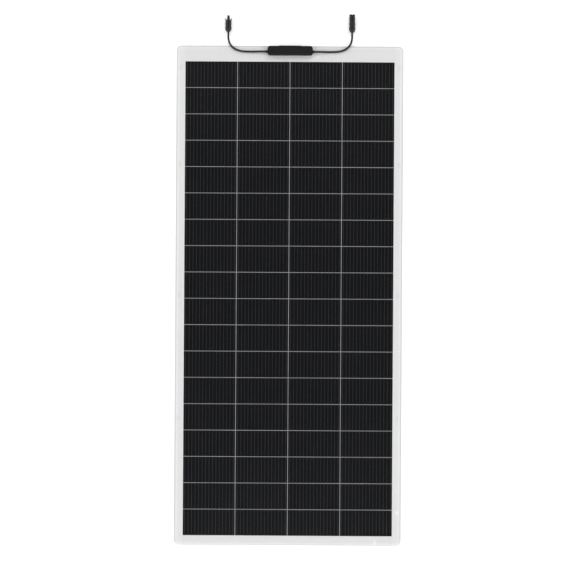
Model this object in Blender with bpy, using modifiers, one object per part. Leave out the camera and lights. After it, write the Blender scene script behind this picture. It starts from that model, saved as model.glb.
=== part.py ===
"""A flexible solar sheet, modelled as the separate pieces that a real one is made of.

The sheet lies on its back: +X to the right, +Y towards the end that carries the junction box, and
+Z out of the face that looks at the sun. Sizes are in metres. Run it with
blender --background --python part.py, or from Blender's text editor.
"""

import math

import bmesh
import bpy
import numpy as np
from mathutils import Matrix, Vector

# ---------------------------------------------------------------- driving sizes
# Cells
CELL_WIDTH = 0.166
CELL_HEIGHT = 0.083
CELL_THICK = 0.0004
CELL_CHAMFER = 0.001
COLUMN_GAP = 0.002
ROW_GAP = 0.0015
COLUMNS = 4
STRIPS = 9
ROWS_IN_STRIP = 2
RIBBONS_IN_CELL = 3
RIBBON_WIDTH = 0.0012
RIBBON_THICK = 0.00012
TAPE_WIDTH = 0.012
TAPE_THICK = 0.00015

# Sheet
SIDE_MARGIN = 0.029
BOX_END_MARGIN = 0.051
FAR_END_MARGIN = 0.0315
SHEET_CORNER = 0.016
BACK_FLOOR = 0.0012
FILM_THICK = 0.00065
LAYER_GAP = 0.00005
PIECE_GAP = 0.0003

# Flat copper that joins the columns of cells, and the white strips that hide it
BUS_WIDTH = 0.005
BUS_THICK = 0.00015
BUS_SPACE = 0.0025
BUS_STEP = 0.0095
BUS_END_INSET = 0.002
BUS_LINK_GAP = 0.006
MASK_THICK = 0.0002
TAB_X = 0.040
TAB_EASE = 0.0015

# Junction box
BOX_LENGTH = 0.145
BOX_WIDTH = 0.029
BOX_EDGE_GAP = 0.0022
BOX_CORNER = 0.0085
BOX_WALL = 0.0020
BOX_FLOOR = 0.0014
WALL_OVER_GLAND = 0.00108
PAD_THICK = 0.0008
PAD_INSET = 0.0006
GASKET_THICK = 0.0008
GASKET_INSET = 0.0004
LID_SIDE = 0.0013
LID_HEIGHT = 0.0029
LID_SLOPE = 0.0115
LID_ROOF = 0.0013
LIP_DEPTH = 0.0015
LIP_WALL = 0.0012
TAB_LENGTH = 0.072
TAB_REACH = 0.0012
SLOT_WIDTH = 0.0046
SLOT_FROM_WALL = 0.0008
TERMINAL_LENGTH = 0.022
TERMINAL_WIDTH = 0.0115
TERMINAL_THICK = 0.0008
TERMINAL_FROM_SLOT = 0.0006
BARREL_LENGTH = 0.008
BARREL_FROM_WALL = 0.0120
DIODE_RADIUS = 0.0024
DIODE_LENGTH = 0.0085
DIODE_LEAD = 0.0008

# Cables
CABLE_RADIUS = 0.0032
CABLE_OFFSET = -0.0026
CABLE_FIT = 0.00022
REST_GAP = 0.00015
GLAND_WALL = 0.0009
GLAND_FIT = 0.0002
GLAND_SLEEVE = 0.0015
GLAND_LIFT = 0.00098

# Connectors: distances run from the cable end of the nut towards the tip
CONNECTOR_X = 0.198
CONNECTOR_REACH = 0.042
CONNECTOR_LIFT = 0.0001
NUT_BORE_EASE = 0.0002
THREAD_RADIUS = 0.0078
SEAL_RADIUS = 0.0060
CONTACT_RADIUS = 0.0026
PLUG_NUT_RADIUS = 0.0107
PLUG_NUT_LENGTH = 0.0172
SOCKET_NUT_RADIUS = 0.0109
SOCKET_NUT_LENGTH = 0.0166
NUT_FLATS = 0.955
ARM_WIDTH = 0.0050
ARM_THICK = 0.0017
ARM_SIDE_GAP = 0.0004
ARM_INNER_X = 0.0079
ARM_ROOT = 0.0298
ARM_FLEX_GAP = 0.0012
NOSE_RADIUS = 0.0040
MOUTH_RADIUS = 0.0054
TURN_STEPS = 24

# ---------------------------------------------------------------- worked-out sizes
COLUMN_PITCH = CELL_WIDTH + COLUMN_GAP
ROW_PITCH = CELL_HEIGHT + ROW_GAP
ROWS = STRIPS * ROWS_IN_STRIP
FIELD_WIDTH = COLUMNS * COLUMN_PITCH - COLUMN_GAP
FIELD_LENGTH = ROWS * ROW_PITCH - ROW_GAP
SHEET_WIDTH = FIELD_WIDTH + 2 * SIDE_MARGIN
SHEET_LENGTH = FIELD_LENGTH + BOX_END_MARGIN + FAR_END_MARGIN
HALF_WIDTH = SHEET_WIDTH / 2
BOX_END = SHEET_LENGTH / 2
FAR_END = -SHEET_LENGTH / 2
FIELD_TOP = BOX_END - BOX_END_MARGIN
FIELD_BOTTOM = FAR_END + FAR_END_MARGIN

CELL_BASE = BACK_FLOOR + LAYER_GAP
BACK_TOP = CELL_BASE + CELL_THICK + LAYER_GAP
FILM_BASE = BACK_TOP + LAYER_GAP
SHEET_THICK = FILM_BASE + FILM_THICK
HINGE_Z = SHEET_THICK / 2
MASK_BASE = CELL_BASE + BUS_THICK + LAYER_GAP

BOX_Y = BOX_END - BOX_EDGE_GAP - BOX_WIDTH / 2
PAD_BASE = SHEET_THICK + LAYER_GAP
BASE_BOTTOM = PAD_BASE + PAD_THICK + LAYER_GAP
FLOOR_TOP = BASE_BOTTOM + BOX_FLOOR
CABLE_BORE = CABLE_RADIUS + CABLE_FIT
GLAND_RADIUS = CABLE_BORE + GLAND_WALL
CABLE_Z = BASE_BOTTOM + GLAND_LIFT + GLAND_RADIUS
BASE_TOP = CABLE_Z + GLAND_RADIUS + WALL_OVER_GLAND
GASKET_BASE = BASE_TOP + LAYER_GAP
LID_BASE = GASKET_BASE + GASKET_THICK + LAYER_GAP
LID_TOP = LID_BASE + LID_HEIGHT
CABLE_Y = BOX_Y + CABLE_OFFSET
SLOT_Y = BOX_Y - BOX_WIDTH / 2 + BOX_WALL + SLOT_FROM_WALL + SLOT_WIDTH / 2
TERMINAL_BASE = FLOOR_TOP + LAYER_GAP
TERMINAL_TOP = TERMINAL_BASE + TERMINAL_THICK
TERMINAL_Y = SLOT_Y + SLOT_WIDTH / 2 + TERMINAL_FROM_SLOT + TERMINAL_WIDTH / 2
BARREL_X = BOX_LENGTH / 2 - BOX_WALL - BARREL_FROM_WALL

CONNECTOR_START = BOX_END + CONNECTOR_REACH
PLUG_Z = PLUG_NUT_RADIUS + CONNECTOR_LIFT
SOCKET_Z = SOCKET_NUT_RADIUS + CONNECTOR_LIFT
CONTACT_START = 0.0147
CABLE_END = CONTACT_START - PIECE_GAP


# ---------------------------------------------------------------- materials
def material(name, colour, roughness, metallic=0.0, alpha=1.0):
    made = bpy.data.materials.get(name)
    if made is None:
        made = bpy.data.materials.new(name)
        made.use_nodes = True
        shader = made.node_tree.nodes["Principled BSDF"]
        shader.inputs["Base Color"].default_value = (*colour, 1.0)
        shader.inputs["Roughness"].default_value = roughness
        shader.inputs["Metallic"].default_value = metallic
        shader.inputs["Alpha"].default_value = alpha
        made.diffuse_color = (*colour, alpha)
    return made


def white_laminate():
    return material("white_laminate", (0.76, 0.76, 0.76), 0.45)


def clear_film():
    return material("clear_film", (0.86, 0.86, 0.86), 0.25, alpha=0.35)


def cell_silicon():
    return material("cell_silicon", (0.012, 0.013, 0.016), 0.3)


def tinned_copper():
    return material("tinned_copper", (0.62, 0.61, 0.59), 0.35, metallic=1.0)


def black_plastic():
    return material("black_plastic", (0.015, 0.015, 0.016), 0.45)


def black_rubber():
    return material("black_rubber", (0.02, 0.02, 0.02), 0.8)


def adhesive_foam():
    return material("adhesive_foam", (0.08, 0.08, 0.08), 0.9)


# ---------------------------------------------------------------- building blocks
def new_collection(name):
    made = bpy.data.collections.new(name)
    bpy.context.scene.collection.children.link(made)
    return made


def add_object(name, mesh, surface=None, parent=None):
    made = bpy.data.objects.new(name, mesh)
    parts.objects.link(made)
    if surface:
        mesh.materials.append(surface)
    if parent:
        made.parent = parent
    return made


def mesh_from(bm, name):
    if bm.calc_volume(signed=True) < 0:
        bmesh.ops.reverse_faces(bm, faces=bm.faces)
    mesh = bpy.data.meshes.new(name)
    bm.to_mesh(mesh)
    bm.free()
    return mesh


def empty(name, at, parent=None, turn=None):
    """An empty at a world position, so that what hangs on it keeps its joint's axis."""
    made = bpy.data.objects.new(name, None)
    made.empty_display_size = 0.02
    parts.objects.link(made)
    wanted = Matrix.Translation(at) @ (turn or Matrix.Identity(4))
    if parent:
        made.parent = parent
        made.matrix_basis = world_of(parent).inverted() @ wanted
    else:
        made.matrix_basis = wanted
    return made


def world_of(made):
    """The world matrix of a chain of empties, without waiting for a scene update."""
    if made.parent:
        return world_of(made.parent) @ made.matrix_basis
    return made.matrix_basis.copy()


def add_box(bm, low, high):
    """One box between two corners, from a cube primitive; returns its new vertices."""
    low = Vector(low)
    high = Vector(high)
    made = bmesh.ops.create_cube(bm, size=1.0)
    for vertex in made["verts"]:
        for axis in range(3):
            vertex.co[axis] = low[axis] + (vertex.co[axis] + 0.5) * (high[axis] - low[axis])
    return made["verts"]


def round_upright_edges(bm, verts, radius, wanted=lambda at: True, segments=5):
    edges = set()
    for vertex in verts:
        for edge in vertex.link_edges:
            across = edge.verts[0].co - edge.verts[1].co
            if abs(across.x) + abs(across.y) < 1e-9 and wanted(edge.verts[0].co):
                edges.add(edge)
    bmesh.ops.bevel(bm, geom=list(edges), offset=radius, segments=segments, profile=0.5, affect="EDGES")


def boxes(name, corners, surface=None, parent=None, round_by=0.0, wanted=lambda at: True, segments=5):
    """Boxes given by world corners in one mesh, with upright edges rounded on request."""
    bm = bmesh.new()
    for low, high in corners:
        verts = add_box(bm, low, high)
        if round_by:
            round_upright_edges(bm, verts, round_by, wanted, segments)
    if parent:
        bm.transform(world_of(parent).inverted())
    return add_object(name, mesh_from(bm, name), surface, parent)


def box(name, low, high, surface=None, parent=None, **rounding):
    return boxes(name, [(low, high)], surface, parent, **rounding)


def prism(name, outline, axis, low, high, surface=None, parent=None):
    """A flat outline in the parent's own axes, filled and then extruded along one of them."""
    bm = bmesh.new()
    across, up, along = {"X": (1, 2, 0), "Y": (0, 2, 1), "Z": (0, 1, 2)}[axis]
    corners = []
    for point in outline:
        at = [0.0, 0.0, 0.0]
        at[across] = point[0]
        at[up] = point[1]
        at[along] = low
        corners.append(bm.verts.new(at))
    pushed = bmesh.ops.extrude_face_region(bm, geom=[bm.faces.new(corners)])
    step = Vector((0, 0, 0))
    step[along] = high - low
    bmesh.ops.translate(bm, vec=step, verts=[v for v in pushed["geom"] if isinstance(v, bmesh.types.BMVert)])
    bmesh.ops.recalc_face_normals(bm, faces=bm.faces)
    return add_object(name, mesh_from(bm, name), surface, parent)


def local_box(name, low, high, parent, turn=0.0):
    """A box in the parent's own axes, turned about its Z."""
    bm = bmesh.new()
    add_box(bm, low, high)
    bm.transform(Matrix.Rotation(turn, 4, "Z"))
    return add_object(name, mesh_from(bm, name), None, parent)


def turned(name, profile, surface=None, parent=None, steps=TURN_STEPS, hollow=True):
    """A turned shape about the parent's Z axis. The profile is (radius, height) points that run
    down the outer side; a hollow one closes on itself, and a solid one ends on the axis."""
    bm = bmesh.new()
    verts = [bm.verts.new((radius, 0, height)) for radius, height in profile]
    for first, second in zip(verts, verts[1:]):
        bm.edges.new((first, second))
    if hollow:
        bm.edges.new((verts[-1], verts[0]))
    mesh = bpy.data.meshes.new(name)
    bm.to_mesh(mesh)
    bm.free()
    made = add_object(name, mesh, surface, parent)
    screw = made.modifiers.new("turn", "SCREW")
    screw.axis = "Z"
    screw.angle = math.tau
    screw.steps = steps
    screw.render_steps = steps
    screw.use_merge_vertices = True
    screw.merge_threshold = 1e-5
    screw.use_smooth_shade = False
    return made


def cylinder(name, at, axis, radius, length, surface=None, parent=None, segments=TURN_STEPS):
    """A round bar whose middle is at a world point, along world X, Y or Z."""
    turn = {"X": Matrix.Rotation(math.pi / 2, 4, "Y"), "Y": Matrix.Rotation(math.pi / 2, 4, "X")}
    bm = bmesh.new()
    bmesh.ops.create_cone(bm, cap_ends=True, segments=segments, radius1=radius, radius2=radius,
                          depth=length)
    bm.transform(Matrix.Translation(at) @ turn.get(axis, Matrix.Identity(4)))
    if parent:
        bm.transform(world_of(parent).inverted())
    return add_object(name, mesh_from(bm, name), surface, parent)


def combine(target, other, operation):
    """A Boolean with a helper, which moves to the hidden collection."""
    other.name = f"{target.name}_{operation.lower()}_{len(target.modifiers)}"
    parts.objects.unlink(other)
    cutters.objects.link(other)
    other.hide_render = True
    other.display_type = "WIRE"
    modifier = target.modifiers.new(operation.title(), "BOOLEAN")
    modifier.solver = "EXACT"
    modifier.operation = operation
    modifier.object = other
    return target


def join(target, *others):
    for other in others:
        combine(target, other, "UNION")
    return target


def cut(target, *others):
    for other in others:
        combine(target, other, "DIFFERENCE")
    return target


# ---------------------------------------------------------------- places along the sheet
def hinge_y(number):
    """Where the sheet bends after this strip: in the middle of the gap between two rows."""
    return FIELD_TOP - number * ROWS_IN_STRIP * ROW_PITCH + ROW_GAP / 2


def strip_span(number):
    low = FAR_END if number == STRIPS else hinge_y(number) + PIECE_GAP / 2
    high = BOX_END if number == 1 else hinge_y(number - 1) - PIECE_GAP / 2
    return low, high


def cell_x(column):
    return (column - (COLUMNS - 1) / 2) * COLUMN_PITCH


def cell_y(row):
    return FIELD_TOP - row * ROW_PITCH - CELL_HEIGHT / 2


def strip_pivots():
    """An empty on each bending line, each hanging on the one before it."""
    pivots = {1: empty("sheet_root", (0, BOX_Y, 0))}
    for number in range(2, STRIPS + 1):
        pivots[number] = empty(f"bend_pivot_{number}", (0, hinge_y(number - 1), HINGE_Z),
                               pivots[number - 1])
    return pivots


# ---------------------------------------------------------------- the laminate
def outer_corner(number):
    """Which upright edges of a strip are the sheet's own rounded corners."""
    if number == 1:
        return lambda at: at.y > BOX_END - 1e-6
    if number == STRIPS:
        return lambda at: at.y < FAR_END + 1e-6
    return lambda at: False


def strip_plate(name, number, low_z, high_z, surface, parent):
    low, high = strip_span(number)
    return box(name, (-HALF_WIDTH, low, low_z), (HALF_WIDTH, high, high_z), surface, parent,
               round_by=SHEET_CORNER, wanted=outer_corner(number))


def bus_zone(number):
    """The recess and white strip beyond the end rows: (near edge, far edge), or None."""
    if number == 1:
        return FIELD_TOP, SLOT_Y + SLOT_WIDTH / 2
    if number == STRIPS:
        return FIELD_BOTTOM - 2 * BUS_SPACE - BUS_WIDTH, FIELD_BOTTOM
    return None


def back_sheet(number, parent):
    """The stiff white back, with a shallow recess that the cells and the flat copper lie in."""
    sheet = strip_plate(f"back_sheet_{number}", number, 0, BACK_TOP, white_laminate(), parent)
    low, high = strip_span(number)
    reach = PIECE_GAP
    low = FIELD_BOTTOM - reach if number == STRIPS else low - 0.001
    high = FIELD_TOP + reach if number == 1 else high + 0.001
    zone = bus_zone(number)
    if zone:
        low = min(low, zone[0] - reach)
        high = max(high, zone[1] + reach)
    return cut(sheet, box("recess", (-FIELD_WIDTH / 2 - reach, low, BACK_FLOOR),
                          (FIELD_WIDTH / 2 + reach, high, BACK_TOP + 0.001), parent=parent))


def cell_group(number, parent):
    """The cells of one strip, held together by flat ribbons along the columns and by fixing tape."""
    rows = range((number - 1) * ROWS_IN_STRIP, number * ROWS_IN_STRIP)
    low, high = strip_span(number)
    tail = BUS_SPACE - PIECE_GAP
    ribbon_low = FIELD_BOTTOM - tail if number == STRIPS else low
    ribbon_high = FIELD_TOP + tail if number == 1 else high
    cells = []
    tapes = []
    for row in rows:
        y = cell_y(row)
        for column in range(COLUMNS):
            x = cell_x(column)
            cells.append(((x - CELL_WIDTH / 2, y - CELL_HEIGHT / 2, CELL_BASE),
                          (x + CELL_WIDTH / 2, y + CELL_HEIGHT / 2, CELL_BASE + CELL_THICK)))
        tapes.append(((-FIELD_WIDTH / 2 + 0.004, y - TAPE_WIDTH / 2, CELL_BASE + 0.00008),
                      (FIELD_WIDTH / 2 - 0.004, y + TAPE_WIDTH / 2, CELL_BASE + 0.00008 + TAPE_THICK)))
    ribbons = []
    step = CELL_WIDTH / RIBBONS_IN_CELL
    ribbon_z = CELL_BASE + 0.00003
    for column in range(COLUMNS):
        for place in range(RIBBONS_IN_CELL):
            x = cell_x(column) + (place - (RIBBONS_IN_CELL - 1) / 2) * step
            ribbons.append(((x - RIBBON_WIDTH / 2, ribbon_low, ribbon_z),
                            (x + RIBBON_WIDTH / 2, ribbon_high, ribbon_z + RIBBON_THICK)))
    group = boxes(f"cell_group_{number}", cells, cell_silicon(), parent, round_by=CELL_CHAMFER,
                  segments=1)
    return join(group, boxes("ribbons", ribbons, parent=parent), boxes("tapes", tapes, parent=parent))


def tab_slot(base, top, parent=None):
    """What lets the three copper tabs up from the laminate into the junction box."""
    reach = TAB_X + BUS_WIDTH / 2 + TAB_EASE
    return box("slot", (-reach, SLOT_Y - SLOT_WIDTH / 2, base), (reach, SLOT_Y + SLOT_WIDTH / 2, top),
               parent=parent)


def front_sheet(number, parent):
    """The clear film over the cells."""
    sheet = strip_plate(f"front_sheet_{number}", number, FILM_BASE, SHEET_THICK, clear_film(), parent)
    if number == 1:
        cut(sheet, tab_slot(FILM_BASE - 0.001, SHEET_THICK + 0.001, parent))
    return sheet


def mask_strip(name, number, parent):
    """The white strip that hides the flat copper at one end of the sheet."""
    near, far = bus_zone(number)
    if number == 1:
        near += PIECE_GAP
        far = SLOT_Y - SLOT_WIDTH / 2
    else:
        far -= PIECE_GAP
    return box(name, (-FIELD_WIDTH / 2, near, MASK_BASE), (FIELD_WIDTH / 2, far, MASK_BASE + MASK_THICK),
               white_laminate(), parent)


def laminate(pivots):
    for number in range(1, STRIPS + 1):
        back_sheet(number, pivots[number])
        cell_group(number, pivots[number])
        front_sheet(number, pivots[number])
    mask_strip("mask_box_end", 1, pivots[1])
    mask_strip("mask_far_end", STRIPS, pivots[STRIPS])


# ---------------------------------------------------------------- flat copper
def tab_boxes(x, start_y):
    """A tab that runs to the slot, rises into the box and folds over its terminal."""
    half = BUS_WIDTH / 2
    stand = SLOT_Y
    fold_z = TERMINAL_TOP + PIECE_GAP
    return [
        ((x - half, start_y, CELL_BASE), (x + half, stand + BUS_THICK, CELL_BASE + BUS_THICK)),
        ((x - half, stand, CELL_BASE), (x + half, stand + BUS_THICK, fold_z + BUS_THICK)),
        ((x - half, stand, fold_z), (x + half, TERMINAL_Y, fold_z + BUS_THICK)),
    ]


def flat_copper(name, pieces, parent):
    """Overlapping flat pieces of ribbon joined into one."""
    first = box(name, *pieces[0], tinned_copper(), parent)
    return join(first, *[box("piece", *piece, parent=parent) for piece in pieces[1:]])


def copper_run(x_low, x_high, y_low):
    return ((x_low, y_low, CELL_BASE), (x_high, y_low + BUS_WIDTH, CELL_BASE + BUS_THICK))


def bus_copper(pivots):
    """The columns run in series, so the far end joins them in pairs and the box end has three taps."""
    edge = FIELD_WIDTH / 2 - BUS_END_INSET
    middle = COLUMN_PITCH
    near_y = FIELD_TOP + BUS_SPACE
    far_y = near_y + BUS_STEP
    low_y = FIELD_BOTTOM - BUS_SPACE - BUS_WIDTH
    inner = middle - COLUMN_GAP / 2 - BUS_END_INSET
    outer = middle + COLUMN_GAP / 2 + BUS_END_INSET
    flat_copper("bus_link_box_end", [copper_run(-inner, inner, near_y)] + tab_boxes(0, near_y), pivots[1])
    flat_copper("bus_link_far_left", [copper_run(-edge, -BUS_LINK_GAP / 2, low_y)], pivots[STRIPS])
    flat_copper("bus_link_far_right", [copper_run(BUS_LINK_GAP / 2, edge, low_y)], pivots[STRIPS])
    for side, name in ((-1, "bus_lead_left"), (1, "bus_lead_right")):
        first = copper_run(*sorted((side * outer, side * edge)), near_y)
        jog_low, jog_high = sorted((side * outer, side * (outer + BUS_WIDTH)))
        jog = ((jog_low, near_y, CELL_BASE), (jog_high, far_y + BUS_WIDTH, CELL_BASE + BUS_THICK))
        second = copper_run(*sorted((side * (TAB_X - BUS_WIDTH / 2), side * (outer + BUS_WIDTH))), far_y)
        flat_copper(name, [first, jog, second] + tab_boxes(side * TAB_X, far_y), pivots[1])


# ---------------------------------------------------------------- junction box
def box_outline(name, inset, low_z, high_z, surface=None, parent=None):
    """The box's rounded outline, drawn in by an inset."""
    half_x = BOX_LENGTH / 2 - inset
    half_y = BOX_WIDTH / 2 - inset
    return box(name, (-half_x, BOX_Y - half_y, low_z), (half_x, BOX_Y + half_y, high_z), surface, parent,
               round_by=max(BOX_CORNER - inset, 0.001), segments=6)


def box_base(parent):
    base = box_outline("box_base", 0, BASE_BOTTOM, BASE_TOP, black_plastic(), parent)
    cut(base, box_outline("hollow", BOX_WALL, FLOOR_TOP, BASE_TOP + 0.001, parent=parent))
    cut(base, tab_slot(BASE_BOTTOM - 0.001, FLOOR_TOP + 0.001, parent))
    reach = BOX_WALL + GLAND_SLEEVE + PIECE_GAP
    for side in (-1, 1):
        at = (side * (BOX_LENGTH / 2 - reach / 2 + 0.001), CABLE_Y, CABLE_Z)
        cut(base, cylinder("bore", at, "X", GLAND_RADIUS + GLAND_FIT, reach + 0.002, parent=parent))
    return base


def box_pad(parent):
    pad = box_outline("box_adhesive", PAD_INSET, PAD_BASE, PAD_BASE + PAD_THICK, adhesive_foam(), parent)
    return cut(pad, tab_slot(PAD_BASE - 0.001, PAD_BASE + PAD_THICK + 0.001, parent))


def box_gasket(parent):
    gasket = box_outline("box_gasket", GASKET_INSET, GASKET_BASE, GASKET_BASE + GASKET_THICK,
                         black_rubber(), parent)
    return cut(gasket, box_outline("inside", BOX_WALL - GASKET_INSET, GASKET_BASE - 0.001,
                                   GASKET_BASE + GASKET_THICK + 0.001, parent=parent))


def box_lid(parent):
    """A lid with sloped ends, a finger tab along its outer edge and a lip that locates it."""
    pivot = empty("lid_pivot", (0, BOX_Y, LID_BASE), parent)
    lid = box_outline("box_lid", 0, LID_BASE, LID_TOP, black_plastic(), pivot)
    edge = BOX_Y + BOX_WIDTH / 2
    tab = [(-TAB_LENGTH / 2, edge - 0.003), (TAB_LENGTH / 2, edge - 0.003),
           (TAB_LENGTH / 2, edge), (TAB_LENGTH / 2 - 0.003, edge + TAB_REACH),
           (-TAB_LENGTH / 2 + 0.003, edge + TAB_REACH), (-TAB_LENGTH / 2, edge)]
    join(lid, prism("tab", tab, "Z", LID_BASE + 0.0002, LID_TOP - 0.0006))
    ease = BOX_WALL + PIECE_GAP
    join(lid, box_outline("lip", ease, LID_BASE - LIP_DEPTH, LID_BASE + 0.0005, parent=pivot))
    cut(lid, box_outline("inside", ease + LIP_WALL, LID_BASE - LIP_DEPTH - 0.001, LID_BASE, parent=pivot))
    roof_x = BOX_LENGTH / 2 - LID_SLOPE - LID_ROOF
    roof_y = BOX_WIDTH / 2 - ease - LIP_WALL
    cut(lid, box("under_roof", (-roof_x, BOX_Y - roof_y, LID_BASE - 0.001),
                 (roof_x, BOX_Y + roof_y, LID_TOP - LID_ROOF), parent=pivot))
    half = BOX_LENGTH / 2 + 0.001
    drop = LID_TOP - LID_BASE - LID_SIDE
    slope = [(half - LID_SLOPE, LID_TOP), (half, LID_TOP - drop), (half + 0.002, LID_TOP - drop),
             (half + 0.002, LID_TOP + 0.002), (half - LID_SLOPE, LID_TOP + 0.002)]
    mirrored = [(-x, z) for x, z in slope]
    for name, outline in (("slope_right", slope), ("slope_left", mirrored)):
        cut(lid, prism(name, outline, "Y", BOX_Y - BOX_WIDTH, BOX_Y + BOX_WIDTH))
    return lid


def terminals(parent):
    """Three plates on the floor of the box; the outer two end in a barrel that takes the cable."""
    half = TERMINAL_LENGTH / 2
    low_y = TERMINAL_Y - TERMINAL_WIDTH / 2
    high_y = TERMINAL_Y + TERMINAL_WIDTH / 2
    box("terminal_middle", (-half, low_y, TERMINAL_BASE), (half, high_y, TERMINAL_TOP), tinned_copper(),
        parent)
    for side, name in ((-1, "terminal_left"), (1, "terminal_right")):
        low_x, high_x = sorted((side * (TAB_X - half), side * (TAB_X + half)))
        plate = box(name, (low_x, low_y, TERMINAL_BASE), (high_x, high_y, TERMINAL_TOP), tinned_copper(),
                    parent)
        foot_x = sorted((side * (TAB_X + half - 0.004), side * (BARREL_X - 0.002)))
        foot = box("foot", (foot_x[0], CABLE_Y - 0.0015, TERMINAL_BASE + 0.0001),
                   (foot_x[1], CABLE_Y + 0.0015, CABLE_Z), parent=parent)
        at = (side * (BARREL_X - BARREL_LENGTH / 2), CABLE_Y, CABLE_Z)
        join(plate, foot, cylinder("barrel", at, "X", CONTACT_RADIUS, BARREL_LENGTH, parent=parent,
                                   segments=16))


def diodes(parent):
    """A bypass diode across each pair of terminals, bent down onto their plates."""
    y = TERMINAL_Y + TERMINAL_WIDTH / 2 - DIODE_RADIUS
    z = TERMINAL_TOP + PIECE_GAP + DIODE_RADIUS + 0.0002
    lead = DIODE_LEAD / 2
    reach = TAB_X / 2 - TERMINAL_LENGTH / 2 + 0.003
    foot = TERMINAL_TOP + PIECE_GAP
    for side, name in ((-1, "bypass_diode_left"), (1, "bypass_diode_right")):
        x = side * TAB_X / 2
        body = cylinder(name, (x, y, z), "X", DIODE_RADIUS, DIODE_LENGTH, black_plastic(), parent, 16)
        wire = box("wire", (x - reach, y - lead, z - lead), (x + reach, y + lead, z + lead), parent=parent)
        legs = [box("leg", (x + end * reach - lead, y - lead, foot), (x + end * reach + lead, y + lead, z),
                    parent=parent) for end in (-1, 1)]
        join(body, wire, *legs)


def glands(parent):
    """The rubber sleeve that seals each cable in the end wall of the box."""
    for side, name in ((-1, "cable_gland_left"), (1, "cable_gland_right")):
        at = (side * BOX_LENGTH / 2, CABLE_Y, CABLE_Z)
        pivot = empty(f"{name}_axis", at, parent, Matrix.Rotation(side * math.pi / 2, 4, "Y"))
        inner = -BOX_WALL - GLAND_SLEEVE
        sleeve = [(CABLE_BORE, 0), (GLAND_RADIUS, 0), (GLAND_RADIUS, inner), (CABLE_BORE, inner)]
        turned(name, sleeve, black_rubber(), pivot)


def junction_box(pivots):
    root = pivots[1]
    box_pad(root)
    box_base(root)
    box_gasket(root)
    box_lid(root)
    terminals(root)
    diodes(root)
    glands(root)


# ---------------------------------------------------------------- connectors
def connector_axis(name, x, z):
    """An empty whose +Z runs from the cable towards the connector's tip."""
    return empty(name, (x, CONNECTOR_START, z), turn=Matrix.Rotation(-math.pi / 2, 4, "X"))


def gland_nut(name, radius, parent, length):
    """A domed nut with eight flats, which screws over the housing's thread."""
    bore = CABLE_BORE + NUT_BORE_EASE
    thread = THREAD_RADIUS + PIECE_GAP
    profile = [(thread, length), (radius * 0.94, length), (radius, length - 0.0020), (radius, 0.0115),
               (radius * 0.97, 0.0095), (radius * 0.90, 0.0071), (radius * 0.77, 0.0039),
               (radius * 0.61, 0.0020), (radius * 0.41, 0), (bore, 0), (bore, 0.0012),
               (0.0064, 0.0046), (thread, 0.0064)]
    nut = turned(name, profile, black_plastic(), parent, steps=32)
    flats = bmesh.new()
    across = radius * NUT_FLATS / math.cos(math.pi / 8)
    bmesh.ops.create_cone(flats, cap_ends=True, segments=8, radius1=across, radius2=across,
                          depth=3 * length)
    bmesh.ops.rotate(flats, matrix=Matrix.Rotation(math.pi / 8, 3, "Z"), verts=flats.verts)
    return combine(nut, add_object("flats", mesh_from(flats, "flats"), None, parent), "INTERSECT")


def clamp_ring(name, parent):
    """The tapered ring that the nut squeezes onto the cable, slit so that its fingers close."""
    profile = [(CABLE_BORE, 0.0070), (0.0060, 0.0070), (0.0060, 0.0052), (0.0041, 0.0022),
               (CABLE_BORE, 0.0022)]
    ring = turned(name, profile, black_plastic(), parent)
    for place in range(3):
        cut(ring, local_box("slit", (-0.0004, CABLE_RADIUS - 0.001, 0), (0.0004, 0.010, 0.0055), parent,
                            place * math.tau / 3))
    return ring


def cable_seal(name, parent):
    profile = [(CABLE_BORE, 0.0142), (SEAL_RADIUS, 0.0142), (SEAL_RADIUS, 0.0076), (CABLE_BORE, 0.0076)]
    return turned(name, profile, black_rubber(), parent)


def spigot_back(contact_bore):
    """The profile points of a housing's threaded end, and of the seats for its seal and contact."""
    seal = SEAL_RADIUS + PIECE_GAP
    return [(THREAD_RADIUS, 0.0182), (THREAD_RADIUS, 0.0074), (seal, 0.0074), (seal, 0.0148),
            (contact_bore, 0.0148)]


def plug(parent):
    """The plug: a slim nose with the contact inside, and two arms that latch into the socket."""
    bore = CONTACT_RADIUS + PIECE_GAP
    profile = [(bore, 0.0530), (NOSE_RADIUS - 0.0006, 0.0530), (NOSE_RADIUS, 0.0522),
               (NOSE_RADIUS, 0.0402), (0.0052, 0.0396), (0.0076, 0.0388), (0.0090, 0.0376),
               (0.0094, 0.0355), (0.0094, 0.0292), (0.0101, 0.0278), (0.0101, 0.0250),
               (0.0095, 0.0226), (0.0095, 0.0182)] + spigot_back(bore)
    housing = turned("plug_housing", profile, black_plastic(), parent, steps=32)
    half = ARM_WIDTH / 2 + ARM_SIDE_GAP
    for side in (-1, 1):
        low_x, high_x = sorted((side * (ARM_INNER_X - ARM_FLEX_GAP), side * 0.0130))
        cut(housing, local_box("arm_slot", (low_x, -half, 0.0286), (high_x, half, 0.0405), parent))
    o_ring = [(NOSE_RADIUS + 0.0002, 0.0421), (0.0049, 0.0421), (0.0052, 0.0415), (0.0049, 0.0408),
              (NOSE_RADIUS + 0.0002, 0.0408)]
    turned("plug_o_ring", o_ring, black_rubber(), parent)
    sleeve = [(0.0014, 0.0505), (CONTACT_RADIUS, 0.0505), (CONTACT_RADIUS, CONTACT_START),
              (0, CONTACT_START), (0, 0.0380), (0.0014, 0.0380)]
    turned("plug_contact", sleeve, tinned_copper(), parent, steps=16)
    cable_seal("plug_cable_seal", parent)


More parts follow.
